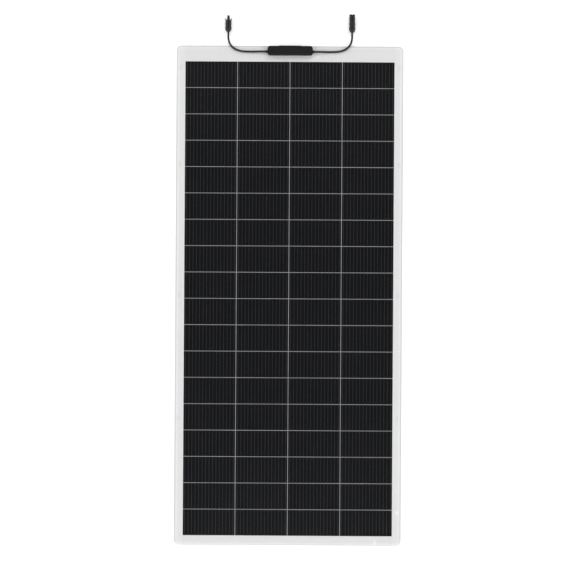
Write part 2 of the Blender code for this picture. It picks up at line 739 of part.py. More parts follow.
def latch_arm(name, side, parent):
    """One arm of the plug, with a barbed tip. It flexes about its root, so its origin is there."""
    root = ARM_INNER_X + ARM_THICK / 2
    pivot = empty(f"{name}_pivot", world_of(parent) @ Vector((side * root, 0, ARM_ROOT)), parent,
                  Matrix.Rotation(-math.pi / 2, 4, "X"))
    inner = ARM_INNER_X
    outer = ARM_INNER_X + ARM_THICK
    outline = [(inner, 0.0289), (outer, 0.0289), (outer, 0.0372), (0.0107, 0.0396), (0.0111, 0.0408),
               (0.0098, 0.0440), (0.0086, 0.0440), (0.0084, 0.0400), (inner, 0.0375)]
    local = [(side * (x - root), along - ARM_ROOT) for x, along in outline]
    return prism(name, local, "Y", -ARM_WIDTH / 2, ARM_WIDTH / 2, black_plastic(), pivot)


def socket(parent):
    """The socket: an open mouth round its pin, with side windows that the plug's arms catch in."""
    bore = CONTACT_RADIUS + PIECE_GAP
    profile = [(MOUTH_RADIUS, 0.0574), (0.0092, 0.0574), (0.0094, 0.0566), (0.0094, 0.0538),
               (0.0086, 0.0520), (0.0086, 0.0503), (0.0100, 0.0490), (0.0100, 0.0450),
               (0.0095, 0.0425), (0.0095, 0.0318), (0.0104, 0.0290), (0.0104, 0.0247),
               (0.0094, 0.0222), (0.0094, 0.0182)] + spigot_back(bore)
    profile += [(bore, 0.0360), (MOUTH_RADIUS, 0.0360)]
    housing = turned("socket_housing", profile, black_plastic(), parent, steps=32)
    slot_half = ARM_WIDTH / 2 + ARM_SIDE_GAP
    cut(housing, local_box("channel", (-0.0077, -slot_half, 0.0430), (0.0077, slot_half, 0.0600), parent))
    cut(housing, local_box("window", (-0.0130, -slot_half, 0.0440), (0.0130, slot_half, 0.0495), parent))
    notch = [(-0.0042, 0.0580), (0, 0.0552), (0.0042, 0.0580)]
    cut(housing, prism("notch", notch, "Y", -0.013, 0.013, parent=parent))
    contact = [(0, 0.0500), (0.0007, 0.0500), (0.0012, 0.0490), (0.0012, 0.0335),
               (CONTACT_RADIUS, 0.0325), (CONTACT_RADIUS, CONTACT_START), (0, CONTACT_START)]
    turned("socket_contact", contact, tinned_copper(), parent, steps=16, hollow=False)
    cable_seal("socket_cable_seal", parent)


def moving_gland(prefix, radius, parent, length):
    """The nut and the clamp ring that comes back with it, each on its own empty on the axis."""
    slide = empty(f"{prefix}_clamp_slide", world_of(parent).translation, parent,
                  Matrix.Rotation(-math.pi / 2, 4, "X"))
    clamp_ring(f"{prefix}_clamp_ring", slide)
    turn = empty(f"{prefix}_nut_turn", world_of(parent).translation, slide,
                 Matrix.Rotation(-math.pi / 2, 4, "X"))
    gland_nut(f"{prefix}_nut", radius, turn, length)


def connectors():
    plug_axis = connector_axis("plug_axis", -CONNECTOR_X, PLUG_Z)
    plug(plug_axis)
    latch_arm("plug_latch_left", -1, plug_axis)
    latch_arm("plug_latch_right", 1, plug_axis)
    moving_gland("plug", PLUG_NUT_RADIUS, plug_axis, PLUG_NUT_LENGTH)
    socket_axis = connector_axis("socket_axis", CONNECTOR_X, SOCKET_Z)
    socket(socket_axis)
    moving_gland("socket", SOCKET_NUT_RADIUS, socket_axis, SOCKET_NUT_LENGTH)


# ---------------------------------------------------------------- cables
def cable_route(side, axis_z):
    """The places that one cable goes through, from its barrel in the box to its contact."""
    low = SHEET_THICK + CABLE_RADIUS + REST_GAP
    y = CABLE_Y
    end = CONNECTOR_START
    box_side = [(BARREL_X + PIECE_GAP, y, CABLE_Z), (0.0700, y, CABLE_Z), (0.0820, y, CABLE_Z)]
    on_sheet = [(0.0960, y, CABLE_Z - 0.0006), (0.1120, y - 0.0002, low + 0.0008),
                (0.1300, y - 0.0001, low), (0.1475, y + 0.0004, low)]
    left = [(0.1590, y + 0.0018, low), (0.1710, y + 0.0056, low + 0.0001),
            (0.1820, y + 0.0117, low + 0.0006), (0.1900, y + 0.0195, low + 0.0014),
            (0.1952, y + 0.0295, low + 0.0026)]
    right = [(0.1600, y + 0.0020, low), (0.1725, y + 0.0061, low + 0.0001),
             (0.1830, y + 0.0126, low + 0.0006), (0.1907, y + 0.0207, low + 0.0014),
             (0.1956, y + 0.0303, low + 0.0026)]
    straight = [(CONNECTOR_X, end - 0.0190, axis_z - 0.0006), (CONNECTOR_X, end - 0.0100, axis_z),
                (CONNECTOR_X, end + 0.0020, axis_z), (CONNECTOR_X, end + CABLE_END, axis_z)]
    points = box_side + on_sheet + (left if side < 0 else right) + straight
    return [Vector((side * x, y, z)) for x, y, z in points]


def smooth_points(route, spacing):
    """Points at even distances along a smooth curve through the route."""
    ends = [2 * route[0] - route[1], *route, 2 * route[-1] - route[-2]]
    dense = []
    for before, first, second, after in zip(ends, ends[1:], ends[2:], ends[3:]):
        for step in range(24):
            t = step / 24
            dense.append(0.5 * (2 * first + (second - before) * t
                                + (2 * before - 5 * first + 4 * second - after) * t ** 2
                                + (3 * first - before - 3 * second + after) * t ** 3))
    dense.append(route[-1])
    along = np.concatenate([[0], np.cumsum([(b - a).length for a, b in zip(dense, dense[1:])])])
    count = max(round(along[-1] / spacing), 2)
    wanted = np.linspace(0, along[-1], count + 1)
    columns = [np.interp(wanted, along, [point[axis] for point in dense]) for axis in range(3)]
    return list(zip(*columns)), along[-1]


def cable(name, side, axis_z):
    points, length = smooth_points(cable_route(side, axis_z), 2 * CABLE_RADIUS)
    curve = bpy.data.curves.new(name, "CURVE")
    curve.dimensions = "3D"
    curve.bevel_depth = CABLE_RADIUS
    curve.bevel_resolution = 3
    curve.use_fill_caps = True
    spline = curve.splines.new("POLY")
    spline.points.add(len(points) - 1)
    for point, at in zip(spline.points, points):
        point.co = (*at, 1.0)
    curve.materials.append(black_rubber())
    made = bpy.data.objects.new(name, curve)
    parts.objects.link(made)
    print(f"{name}: {length * 1000:.1f} mm along its middle")


def cables():
    cable("cable_left", -1, PLUG_Z)
    cable("cable_right", 1, SOCKET_Z)


# ---------------------------------------------------------------- the whole part
for old in list(bpy.data.objects):
    bpy.data.objects.remove(old)
parts = new_collection("flexible_solar_sheet")
cutters = new_collection("cutters")
cutters.hide_render = True

strip_empties = strip_pivots()
laminate(strip_empties)
bus_copper(strip_empties)
junction_box(strip_empties)
connectors()
cables()
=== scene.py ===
# %% [markdown]
# # A flexible solar sheet
# This lesson dresses a packed solar sheet: a thin laminate of dark cells, a low junction box on one
# end, and two short cables that end in a plug and a socket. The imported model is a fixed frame. It
# says where everything is and what moves, and each new piece takes its place from it.

# %% Load the frame
import math

import bmesh
import bpy
import numpy as np
from mathutils import Matrix, Vector


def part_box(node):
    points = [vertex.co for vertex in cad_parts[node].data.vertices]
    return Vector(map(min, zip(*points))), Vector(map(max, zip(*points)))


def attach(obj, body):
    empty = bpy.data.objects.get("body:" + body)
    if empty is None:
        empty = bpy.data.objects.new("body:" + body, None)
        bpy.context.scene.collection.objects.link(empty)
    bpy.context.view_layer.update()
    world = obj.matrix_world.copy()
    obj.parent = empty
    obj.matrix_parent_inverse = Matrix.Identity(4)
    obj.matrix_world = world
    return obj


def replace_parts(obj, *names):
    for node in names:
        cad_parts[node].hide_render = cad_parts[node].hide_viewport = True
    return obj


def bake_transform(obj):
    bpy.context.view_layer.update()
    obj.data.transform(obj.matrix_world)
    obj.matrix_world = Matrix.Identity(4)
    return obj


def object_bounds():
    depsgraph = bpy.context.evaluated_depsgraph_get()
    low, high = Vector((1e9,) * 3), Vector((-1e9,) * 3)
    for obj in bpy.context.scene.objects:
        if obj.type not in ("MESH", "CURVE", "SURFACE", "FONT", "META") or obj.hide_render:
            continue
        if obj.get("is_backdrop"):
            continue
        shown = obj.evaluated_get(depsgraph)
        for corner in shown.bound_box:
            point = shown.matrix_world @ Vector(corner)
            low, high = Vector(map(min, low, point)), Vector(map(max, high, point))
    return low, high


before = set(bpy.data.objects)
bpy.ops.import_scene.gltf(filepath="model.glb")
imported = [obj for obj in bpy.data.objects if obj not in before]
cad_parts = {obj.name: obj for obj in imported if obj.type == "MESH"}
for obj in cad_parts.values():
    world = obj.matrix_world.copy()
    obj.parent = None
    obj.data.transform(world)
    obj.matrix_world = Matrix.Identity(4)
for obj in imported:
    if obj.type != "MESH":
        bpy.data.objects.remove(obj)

cad_low, cad_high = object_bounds()
print("the packed model measures", [round(v, 4) for v in cad_high - cad_low])

# %% [markdown]
# ## The camera
# A camera looks along its own -Z, so one that is hardly turned looks straight down at the sheet. A
# long lens from high up shows a flat thing without its edges leaning away. The camera's height
# comes from what should fit in the picture: the triangles on both sides of the lens are alike.

# %% Camera
LENS_MM = 85
SENSOR_MM = 36
VIEW_HEIGHT = 1.8117
VIEW_X = -0.0264
VIEW_Y = 0.0424
VIEW_TURN_DEG = 0.35

film_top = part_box("front_sheet_1")[1].z
lens = bpy.data.cameras.new("camera")
lens.lens = LENS_MM
lens.sensor_width = SENSOR_MM
camera = bpy.data.objects.new("camera", lens)
bpy.context.scene.collection.objects.link(camera)
camera.location = (VIEW_X, VIEW_Y, film_top + VIEW_HEIGHT * LENS_MM / SENSOR_MM)
camera.rotation_euler = (0, 0, math.radians(VIEW_TURN_DEG))
bpy.context.scene.camera = camera
bpy.context.scene.view_settings.view_transform = "Standard"
print("camera height", round(camera.location.z, 3))

# %% [markdown]
# ## Recipes for finishes
# A procedural finish is a small network of nodes. Two helpers keep the network readable: one wraps
# a node's output so that plain arithmetic adds Math nodes, and the other adds any node from its
# type, its settings and what goes into its sockets.

# %% Socket arithmetic
class Value:
    """A node's output that plain arithmetic works on."""

    def __init__(self, recipe, socket):
        self.recipe = recipe
        self.socket = socket

    def math(self, operation, first, second):
        return self.recipe.add("ShaderNodeMath", {"operation": operation}, {0: first, 1: second})

    def __add__(self, other):
        return self.math("ADD", self, other)

    def __sub__(self, other):
        return self.math("SUBTRACT", self, other)

    def __rsub__(self, other):
        return self.math("SUBTRACT", other, self)

    def __mul__(self, other):
        return self.math("MULTIPLY", self, other)

    def __truediv__(self, other):
        return self.math("DIVIDE", self, other)

    def __pow__(self, other):
        return self.math("POWER", self, other)

    __radd__ = __add__
    __rmul__ = __mul__


# %% Node recipes
class Recipe:
    """A finish, or a sky, while its nodes are being put together."""

    def __init__(self, owner):
        owner.use_nodes = True
        self.owner = owner
        self.nodes = owner.node_tree.nodes
        self.links = owner.node_tree.links
        self.nodes.clear()

    def add(self, kind, settings=None, inputs=None, output=0):
        """Any node: its settings, then the values or links of its sockets."""
        node = self.nodes.new(kind)
        for name, value in (settings or {}).items():
            setattr(node, name, value)
        for name, value in (inputs or {}).items():
            if isinstance(value, Value):
                self.links.new(value.socket, node.inputs[name])
            else:
                node.inputs[name].default_value = value
        return Value(self, node.outputs[output]) if output is not None else node

    def between(self, value, low, high):
        """0 at low and 1 at high, with a soft start and end."""
        return self.add("ShaderNodeMapRange", {"interpolation_type": "SMOOTHSTEP"},
                        {0: value, 1: low, 2: high})

    def size_of(self, value):
        return self.add("ShaderNodeMath", {"operation": "ABSOLUTE"}, {0: value})

    def larger(self, first, second):
        return self.add("ShaderNodeMath", {"operation": "MAXIMUM"}, {0: first, 1: second})

    def smaller(self, first, second):
        return self.add("ShaderNodeMath", {"operation": "MINIMUM"}, {0: first, 1: second})

    def from_line(self, value, step):
        """How far a value is from the nearest of many lines that are a step apart."""
        turned = self.add("ShaderNodeMath", {"operation": "FLOORED_MODULO"}, {0: value, 1: step})
        return step / 2 - self.size_of(turned - step / 2)

    def mix(self, factor, first, second):
        """A colour that runs from the first to the second."""
        pair = [(*c, 1) if isinstance(c, tuple) else c for c in (first, second)]
        return self.add("ShaderNodeMix", {"data_type": "RGBA"}, {0: factor, 6: pair[0], 7: pair[1]}, 2)

    def grey(self, value):
        return self.add("ShaderNodeCombineColor", None, {0: value, 1: value, 2: value})

    def object_place(self):
        return self.add("ShaderNodeTexCoord", output=3)

    def map_place(self):
        """The piece's own map, which holds its x and y in metres as it lies flat."""
        return self.add("ShaderNodeUVMap", {"uv_map": "UVMap"})

    def axis(self, place, number):
        return self.add("ShaderNodeSeparateXYZ", None, {0: place}, number)

    def noise(self, place, scale, detail=2.0, stretch=(1, 1, 1)):
        stretched = self.add("ShaderNodeMapping", None, {0: place, 3: stretch})
        return self.add("ShaderNodeTexNoise", None, {"Vector": stretched, "Scale": scale,
                                                     "Detail": detail})

    def bump(self, height, strength, depth):
        return self.add("ShaderNodeBump", None, {"Height": height, "Strength": strength,
                                                 "Distance": depth})

    def show(self, shader):
        self.add("ShaderNodeOutputMaterial", None, {"Surface": shader}, None)

    def surface(self, **inputs):
        """A Principled shader as the finished surface."""
        named = {name.replace("_", " "): value for name, value in inputs.items()}
        self.show(self.add("ShaderNodeBsdfPrincipled", None, named))
        return self.owner


def new_finish(name):
    return Recipe(bpy.data.materials.new(name))


# %% [markdown]
# ## Modelling helpers
# Each piece starts as a primitive and is shaped in edit mode. An operator acts on everything that is
# selected, so a helper first deselects all, and another selects by a test on each face's, edge's or
# point's place. Every finished piece keeps its object at the origin, with its place in its mesh.

# %% Selecting and starting
def deselect_all():
    if bpy.context.mode != "OBJECT":
        bpy.ops.object.mode_set(mode="OBJECT")
    bpy.ops.object.select_all(action="DESELECT")


def hold(piece):
    """Makes one piece the only selected and active one."""
    deselect_all()
    piece.select_set(True)
    bpy.context.view_layer.objects.active = piece


def edit(piece):
    hold(piece)
    bpy.ops.object.mode_set(mode="EDIT")


def pick(piece, kind, wanted):
    """In edit mode, selects each VERT, EDGE or FACE whose middle passes the test."""
    bpy.ops.mesh.select_mode(type=kind)
    bpy.ops.mesh.select_all(action="DESELECT")
    shape = bmesh.from_edit_mesh(piece.data)
    for item in {"VERT": shape.verts, "EDGE": shape.edges, "FACE": shape.faces}[kind]:
        points = [item.co] if kind == "VERT" else [v.co for v in item.verts]
        middle = sum(points, Vector()) / len(points)
        if wanted(middle, item):
            item.select_set(True)
    bmesh.update_edit_mesh(piece.data)


def runs_along(edge, number):
    """True for an edge that runs along one axis."""
    way = (edge.verts[1].co - edge.verts[0].co).normalized()
    return abs(way[number]) > 0.99


# %% Blocks, cuts and modifiers
def block(name, low, high):
    """A cube primitive between two corners."""
    deselect_all()
    bpy.ops.mesh.primitive_cube_add(size=1, location=[(a + b) / 2 for a, b in zip(low, high)])
    piece = bpy.context.object
    piece.name = name
    piece.scale = [b - a for a, b in zip(low, high)]
    bpy.ops.object.transform_apply(location=True, rotation=True, scale=True)
    return piece


def slice_along(piece, number, places):
    """Cuts a piece's faces by planes across one axis, so that they can bend there."""
    edit(piece)
    normal = [float(axis == number) for axis in range(3)]
    for place in places:
        bpy.ops.mesh.select_all(action="SELECT")
        bpy.ops.mesh.bisect(plane_co=[place * way for way in normal], plane_no=normal)
    deselect_all()


def round_edges(piece, radius, segments, wanted):
    edit(piece)
    pick(piece, "EDGE", wanted)
    bpy.ops.mesh.bevel(offset=radius, segments=segments, affect="EDGES")
    deselect_all()


def modify(piece, kind, **settings):
    """Adds a modifier and applies it."""
    made = piece.modifiers.new(kind, kind)
    for name, value in settings.items():
        setattr(made, name, value)
    hold(piece)
    bpy.ops.object.modifier_apply(modifier=made.name)


def soften(piece, width, segments=2, angle=35):
    """A small rounding on every sharp edge, which catches the light as on a moulded part."""
    modify(piece, "BEVEL", width=width, segments=segments, limit_method="ANGLE",
           angle_limit=math.radians(angle), harden_normals=False)


def combine(piece, other, operation="DIFFERENCE"):
    modify(piece, "BOOLEAN", object=other, operation=operation, solver="EXACT")
    bpy.data.objects.remove(other)


def copy_of(piece, name, shift=(0, 0, 0)):
    """A copy with its own mesh, moved inside that mesh."""
    made = piece.copy()
    made.data = piece.data.copy()
    made.data.transform(Matrix.Translation(shift))
    made.name = name
    bpy.context.scene.collection.objects.link(made)
    return made


# %% Turned shapes and outlines
def draw(name, points):
    """An outline of edges, drawn from one point by extruding it again and again."""
    deselect_all()
    bpy.ops.mesh.primitive_plane_add(size=0.001)
    piece = bpy.context.object
    piece.name = name
    edit(piece)
    bpy.ops.mesh.select_mode(type="VERT")
    bpy.ops.mesh.select_all(action="SELECT")
    bpy.ops.mesh.merge(type="CENTER")
    bpy.ops.transform.translate(value=points[0])
    for before, after in zip(points, points[1:]):
        step = [b - a for a, b in zip(before, after)]
        bpy.ops.mesh.extrude_region_move(TRANSFORM_OT_translate={"value": step})
    return piece


def turned(name, profile, start, way, steps=40):
    """A profile of (radius, distance) points, spun about an axis that leaves start along way."""
    start = Vector(start)
    way = Vector(way)
    piece = draw(name, [start + way * along + Vector((0, 0, radius)) for radius, along in profile])
    bpy.ops.mesh.select_all(action="SELECT")
    bpy.ops.mesh.spin(steps=steps, angle=math.tau, center=start, axis=way)
    bpy.ops.mesh.select_all(action="SELECT")
    bpy.ops.mesh.remove_doubles(threshold=0.00001)
    bpy.ops.mesh.normals_make_consistent(inside=False)
    deselect_all()
    return piece


def plate_of(name, outline, depth):
    """A closed outline, filled and pulled out along Z, and centred on its own height."""
    piece = draw(name, outline)
    bpy.ops.mesh.select_all(action="SELECT")
    bpy.ops.mesh.edge_face_add()
    bpy.ops.mesh.extrude_region_move(TRANSFORM_OT_translate={"value": (0, 0, depth)})
    bpy.ops.mesh.select_all(action="SELECT")
    bpy.ops.mesh.normals_make_consistent(inside=False)
    deselect_all()
    return piece


# %% Finishing a piece
def flat_map(piece):
    """Writes each corner's x and y in metres into the piece's map."""
    mesh = piece.data
    layer = mesh.uv_layers.get("UVMap") or mesh.uv_layers.new(name="UVMap")
    places = np.zeros(len(mesh.vertices) * 3)
    mesh.vertices.foreach_get("co", places)
    corners = np.zeros(len(mesh.loops), int)
    mesh.loops.foreach_get("vertex_index", corners)
    layer.data.foreach_set("uv", places.reshape(-1, 3)[corners, :2].ravel())


def dress(piece, material, angle=30, keep_flat=False):
    """Smooths the shading, lays the map and gives the piece its only finish."""
    hold(piece)
    bpy.ops.object.shade_smooth_by_angle(angle=math.radians(angle))
    if keep_flat:
        modify(piece, "WEIGHTED_NORMAL", keep_sharp=True)
    piece.data.materials.clear()
    piece.data.materials.append(material)
    flat_map(piece)
    return piece


# %% [markdown]
# ## The two cables
# A cable keeps its length and can't bend sharply, so it is drawn as one smooth curve through a few
# chosen places and then given its round section. Each runs out of the end of the box, comes down
# onto the sheet, lies along it, and turns away over the sheet's edge into its connector.

# %% Cable routes
CABLE_RADIUS = 0.0032
CABLE_GAP = 0.00015
CONNECTOR_X = 0.198
CABLE_POINT_STEP = 0.0016
POINTS_A_SPAN = 24

gland_low, gland_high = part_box("cable_gland_right")
cable_y = (gland_low.y + gland_high.y) / 2
cable_z = (gland_low.z + gland_high.z) / 2
box_low, box_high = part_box("box_base")
plug_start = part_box("plug_nut")[0].y
plug_axis_z = (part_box("plug_housing")[0].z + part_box("plug_housing")[1].z) / 2
socket_axis_z = (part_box("socket_housing")[0].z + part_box("socket_housing")[1].z) / 2


def cable_route(side, axis_z):
    """The places that a cable goes through, from inside the box to its contact."""
    low = film_top + CABLE_RADIUS + CABLE_GAP
    y = cable_y
    end = plug_start
    box_side = [(0.0588, y, cable_z), (0.0700, y, cable_z), (0.0820, y, cable_z)]
    on_sheet = [(0.0960, y, cable_z - 0.0006), (0.1120, y - 0.0002, low + 0.0008),
                (0.1300, y - 0.0001, low), (0.1475, y + 0.0004, low)]
    left = [(0.1590, y + 0.0018, low), (0.1710, y + 0.0056, low + 0.0001),
            (0.1820, y + 0.0117, low + 0.0006), (0.1900, y + 0.0195, low + 0.0014),
            (0.1952, y + 0.0295, low + 0.0026)]
    right = [(0.1600, y + 0.0020, low), (0.1725, y + 0.0061, low + 0.0001),
             (0.1830, y + 0.0126, low + 0.0006), (0.1907, y + 0.0207, low + 0.0014),
             (0.1956, y + 0.0303, low + 0.0026)]
    straight = [(CONNECTOR_X, end - 0.0190, axis_z - 0.0006), (CONNECTOR_X, end - 0.0100, axis_z),
                (CONNECTOR_X, end + 0.0020, axis_z), (CONNECTOR_X, end + 0.0144, axis_z)]
    points = box_side + on_sheet + (left if side < 0 else right) + straight
    return [Vector((side * x, y, z)) for x, y, z in points]


print("the cables leave the box", round((cable_z - film_top) * 1000, 1), "mm above the film")


def smooth_points(route, spacing):
    """Points at even distances along a smooth curve through the route."""
    ends = [2 * route[0] - route[1], *route, 2 * route[-1] - route[-2]]
    dense = []
    for before, first, second, after in zip(ends, ends[1:], ends[2:], ends[3:]):
        for step in range(POINTS_A_SPAN):
            t = step / POINTS_A_SPAN
            dense.append(0.5 * (2 * first + (second - before) * t
                                + (2 * before - 5 * first + 4 * second - after) * t ** 2
                                + (3 * first - before - 3 * second + after) * t ** 3))
    dense.append(route[-1])
    along = np.concatenate([[0], np.cumsum([(b - a).length for a, b in zip(dense, dense[1:])])])
    wanted = np.linspace(0, along[-1], round(along[-1] / spacing) + 1)
    columns = [np.interp(wanted, along, [point[axis] for point in dense]) for axis in range(3)]
    return list(zip(*columns)), float(along[-1])


# %% Cable curves
def cable(name, side, axis_z):
    points, length = smooth_points(cable_route(side, axis_z), CABLE_POINT_STEP)
    curve = bpy.data.curves.new(name, "CURVE")
    curve.dimensions = "3D"
    curve.bevel_depth = CABLE_RADIUS
    curve.bevel_resolution = 5
    curve.use_fill_caps = True
    spline = curve.splines.new("POLY")
    spline.points.add(len(points) - 1)
    for point, at in zip(spline.points, points):
        point.co = (*at, 1.0)
    made = bpy.data.objects.new(name, curve)
    bpy.context.scene.collection.objects.link(made)
    print(name, "is", round(length * 1000, 1), "mm along its middle")
    return made, length


cable_left, cable_left_length = cable("cable_run_left", -1, plug_axis_z)
cable_right, cable_right_length = cable("cable_run_right", 1, socket_axis_z)

# %% [markdown]
# ## Floor, sky and lamps
# A glossy black thing shows whatever stands opposite the camera, so the sky is dark right overhead
# and pale near the horizon, and the four soft lamps stand to the sides. The floor is plain and pale.

# %% Floor
FLOOR_DROP = 0.0004
FLOOR_SIZE = 60
FLOOR_GLOW = 0.22

deselect_all()
bpy.ops.mesh.primitive_plane_add(size=FLOOR_SIZE, location=(0, 0, cad_low.z - FLOOR_DROP))
floor = bpy.context.object
floor.name = "floor"
bpy.ops.object.transform_apply(location=True)
floor_finish = new_finish("floor_paint")
mottle = floor_finish.noise(floor_finish.object_place(), 3.0)
floor.data.materials.append(floor_finish.surface(
    Base_Color=floor_finish.grey(0.93 + 0.02 * mottle), Roughness=0.9, Specular_IOR_Level=0.1,
    Emission_Color=(1, 1, 1, 1), Emission_Strength=FLOOR_GLOW))
floor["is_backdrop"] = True
print("the floor lies", round(FLOOR_DROP * 1000, 1), "mm under the sheet")

# %% Sky and lamps
LAMPS = 4
LAMP_WATTS = 30
LAMP_SIZE = (2.4, 1.4)
LAMP_DISTANCE = 3.2
LAMP_HEIGHT_DEG = 42
HORIZON_GLOW = 1.45
SIDE_DROP = 0.93
OVERHEAD_DROP = 0.48

world = bpy.data.worlds.new("studio")
bpy.context.scene.world = world
sky = Recipe(world)
height = sky.axis(sky.add("ShaderNodeTexCoord", output=0), 2)
glow = HORIZON_GLOW - SIDE_DROP * sky.between(height, 0.10, 0.42)
glow = glow - OVERHEAD_DROP * sky.between(height, 0.66, 0.90)
backdrop = sky.add("ShaderNodeBackground", None, {"Color": (1, 1, 1, 1), "Strength": glow})
sky.add("ShaderNodeOutputWorld", None, {"Surface": backdrop}, None)

for number in range(LAMPS):
    turn = number * math.tau / LAMPS
    lift = math.radians(LAMP_HEIGHT_DEG)
    lamp_data = bpy.data.lights.new(f"lamp_{number + 1}", "AREA")
    lamp_data.shape = "RECTANGLE"
    lamp_data.size, lamp_data.size_y = LAMP_SIZE
    lamp_data.energy = LAMP_WATTS
    lamp = bpy.data.objects.new(lamp_data.name, lamp_data)
    bpy.context.scene.collection.objects.link(lamp)
    way = Vector((math.sin(turn) * math.cos(lift), math.cos(turn) * math.cos(lift), math.sin(lift)))
    lamp.location = way * LAMP_DISTANCE
    lamp.rotation_euler = way.to_track_quat("Z", "Y").to_euler()
    lamp.visible_camera = False
print(LAMPS, "lamps of", LAMP_WATTS, "W stand around the sheet")

# %% [markdown]
# ## Finishes of the laminate
# The laminate is a white back, black cells with fine printed lines, flat tinned wires that collect
# the current, and a clear film. Its map holds metres, so every pattern is in real sizes and stays
# put while the sheet bends. A painted highlight makes the white a little brighter near the edges,
# where the film is pressed down, and the side margins are painted a little lighter. Patches of
# painted shade show where the sheet is faintly rippled, painted shade darkens the white between
# the cells, and two painted glints sit on the margins.

# %% Where the white back changes
half_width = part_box("back_sheet_1")[1].x
box_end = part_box("back_sheet_1")[1].y
far_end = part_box("back_sheet_9")[0].y
field_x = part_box("cell_group_1")[1].x
field_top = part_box("mask_box_end")[0].y
field_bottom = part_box("mask_far_end")[1].y
SHEET_CORNER = 0.016
COLUMN_PITCH = 0.168
RIM_OUTER = (0.0038, 0.0060)
RIM_INNER = (0.0085, 0.0115)
EDGE_LINE = (0.0030, 0.0054)
EDGE_LINE_ENDS = (-0.793, -0.786)
FAR_RIM_Y = -0.7905
SIDE_FADE = 0.004
FIELD_FADE = 0.0005
COLUMN_GAP = (0.0012, 0.0016)
RIPPLE_SHADE_SPOTS = ((0.3505, 0.732), (0.3505, 0.420), (0.3505, 0.0), (0.3505, -0.394))
RIPPLE_SHADE_REACH = (0.0085, 0.0130)
GLINTS = ((0.3505, -0.694), (0.280, -0.790))
GLINT_REACH = (0.0080, 0.0110)

print("the cells cover", round(2 * field_x * 1000), "by",
      round((field_top - field_bottom) * 1000), "mm")


# %% White back
def soft_spots(recipe, x, y, spots, reach):
    """1 in the middle of each oval spot, falling softly to 0 at its edge."""
    total = 0.0
    for spot_x, spot_y in spots:
        away = ((x - spot_x) / reach[0]) ** 2 + ((y - spot_y) / reach[1]) ** 2
        total = total + (1 - recipe.between(away, 0.0, 1.0))
    return total


def white_back():
    """White polymer under film, with a darker outer line and painted light: a highlight band near the
    edges, lighter side margins, glints, and shade on rippled patches and between the cells.
    """
    recipe = new_finish("white_laminate_back")
    place = recipe.map_place()
    x = recipe.axis(place, 0)
    y = recipe.axis(place, 1)
    side = recipe.size_of(x)
    past_x = side - (half_width - SHEET_CORNER)
    past_y = recipe.size_of(y) - (box_end - SHEET_CORNER)
    corner = (recipe.larger(past_x, 0.0) ** 2 + recipe.larger(past_y, 0.0) ** 2) ** 0.5
    depth = SHEET_CORNER - corner - recipe.smaller(recipe.larger(past_x, past_y), 0.0)
    # Painted highlight: a band near the edges is painted lighter.
    rim_highlight = recipe.between(depth, *RIM_OUTER) - recipe.between(depth, *RIM_INNER)
    # Painted light: the side margins are painted lighter than the ends, and their edge band more so.
    sides = recipe.between(side, field_x, field_x + SIDE_FADE)
    edge_line = (1 - recipe.between(depth, *EDGE_LINE)) * recipe.between(y, *EDGE_LINE_ENDS)
    # Painted highlight along the far end's edge.
    far_rim_highlight = recipe.between(FAR_RIM_Y - y, 0.0, 0.005)
    # Painted shade: the white between the cells is painted darker, and darker still in the gaps between
    # columns.
    field_gap_shade = 1 - recipe.between(side, field_x, field_x + FIELD_FADE)
    field_gap_shade = field_gap_shade * recipe.between(field_top - y, 0.0, FIELD_FADE)
    field_gap_shade = field_gap_shade * recipe.between(y - field_bottom, 0.0, FIELD_FADE)
    column_gap_shade = 1 - recipe.between(recipe.from_line(x, COLUMN_PITCH), *COLUMN_GAP)
    # Painted shade on faint patches where the sheet is rippled, and painted glints on two spots.
    ripple_shade = soft_spots(recipe, side, y, RIPPLE_SHADE_SPOTS, RIPPLE_SHADE_REACH)
    glints = soft_spots(recipe, x, y, GLINTS, GLINT_REACH)
    cloud = recipe.noise(place, 14.0, 3.0)
    # The white's own tone, plus the painted highlights and minus the painted shade above.
    shade = 0.728 + 0.02 * cloud + (0.025 + 0.03 * rim_highlight) * sides - 0.05 * ripple_shade + 0.09 * glints
    shade = shade + 0.03 * rim_highlight - 0.075 * edge_line + 0.05 * far_rim_highlight
    # The painted shade between the cells darkens the tone here.
    shade = shade * (1 - field_gap_shade * (0.27 + 0.2 * column_gap_shade))
    grain = recipe.noise(place, 2600.0, 1.0)
    return recipe.surface(Base_Color=recipe.grey(shade), Roughness=0.42,
                          Normal=recipe.bump(grain, 0.12, 0.00008))


# %% Cells, wires and film
HAIRLINE_PITCH = 0.00135
HAIRLINE_EDGE = (0.00002, 0.00006)
GLOSS_FACING = 0.02
GLOSS_ACROSS = 0.45


def cell_black():
    """Anti-reflection coated silicon: almost black, with hair-fine silver lines along X."""
    recipe = new_finish("cell_silicon")
    place = recipe.map_place()
    line = 1 - recipe.between(recipe.from_line(recipe.axis(place, 1), HAIRLINE_PITCH), *HAIRLINE_EDGE)
    cloud = recipe.noise(place, 9.0, 2.0)
    dark = recipe.mix(cloud, (0.0046, 0.0050, 0.0062), (0.0064, 0.0067, 0.0076))
    return recipe.surface(Base_Color=recipe.mix(0.3 * line, dark, (0.070, 0.070, 0.073)),
                          Roughness=0.34 + 0.1 * line, Specular_IOR_Level=0.05)


def tinned_wire():
    """Tin on a hair-thin flat wire, streaked along its length."""
    recipe = new_finish("tinned_wire")
    place = recipe.map_place()
    streak = recipe.noise(place, 900.0, 2.0, (1, 0.03, 1))
    tone = 0.12 + 0.10 * streak
    return recipe.surface(Base_Color=recipe.grey(tone), Metallic=1.0, Roughness=0.38 + 0.16 * streak)


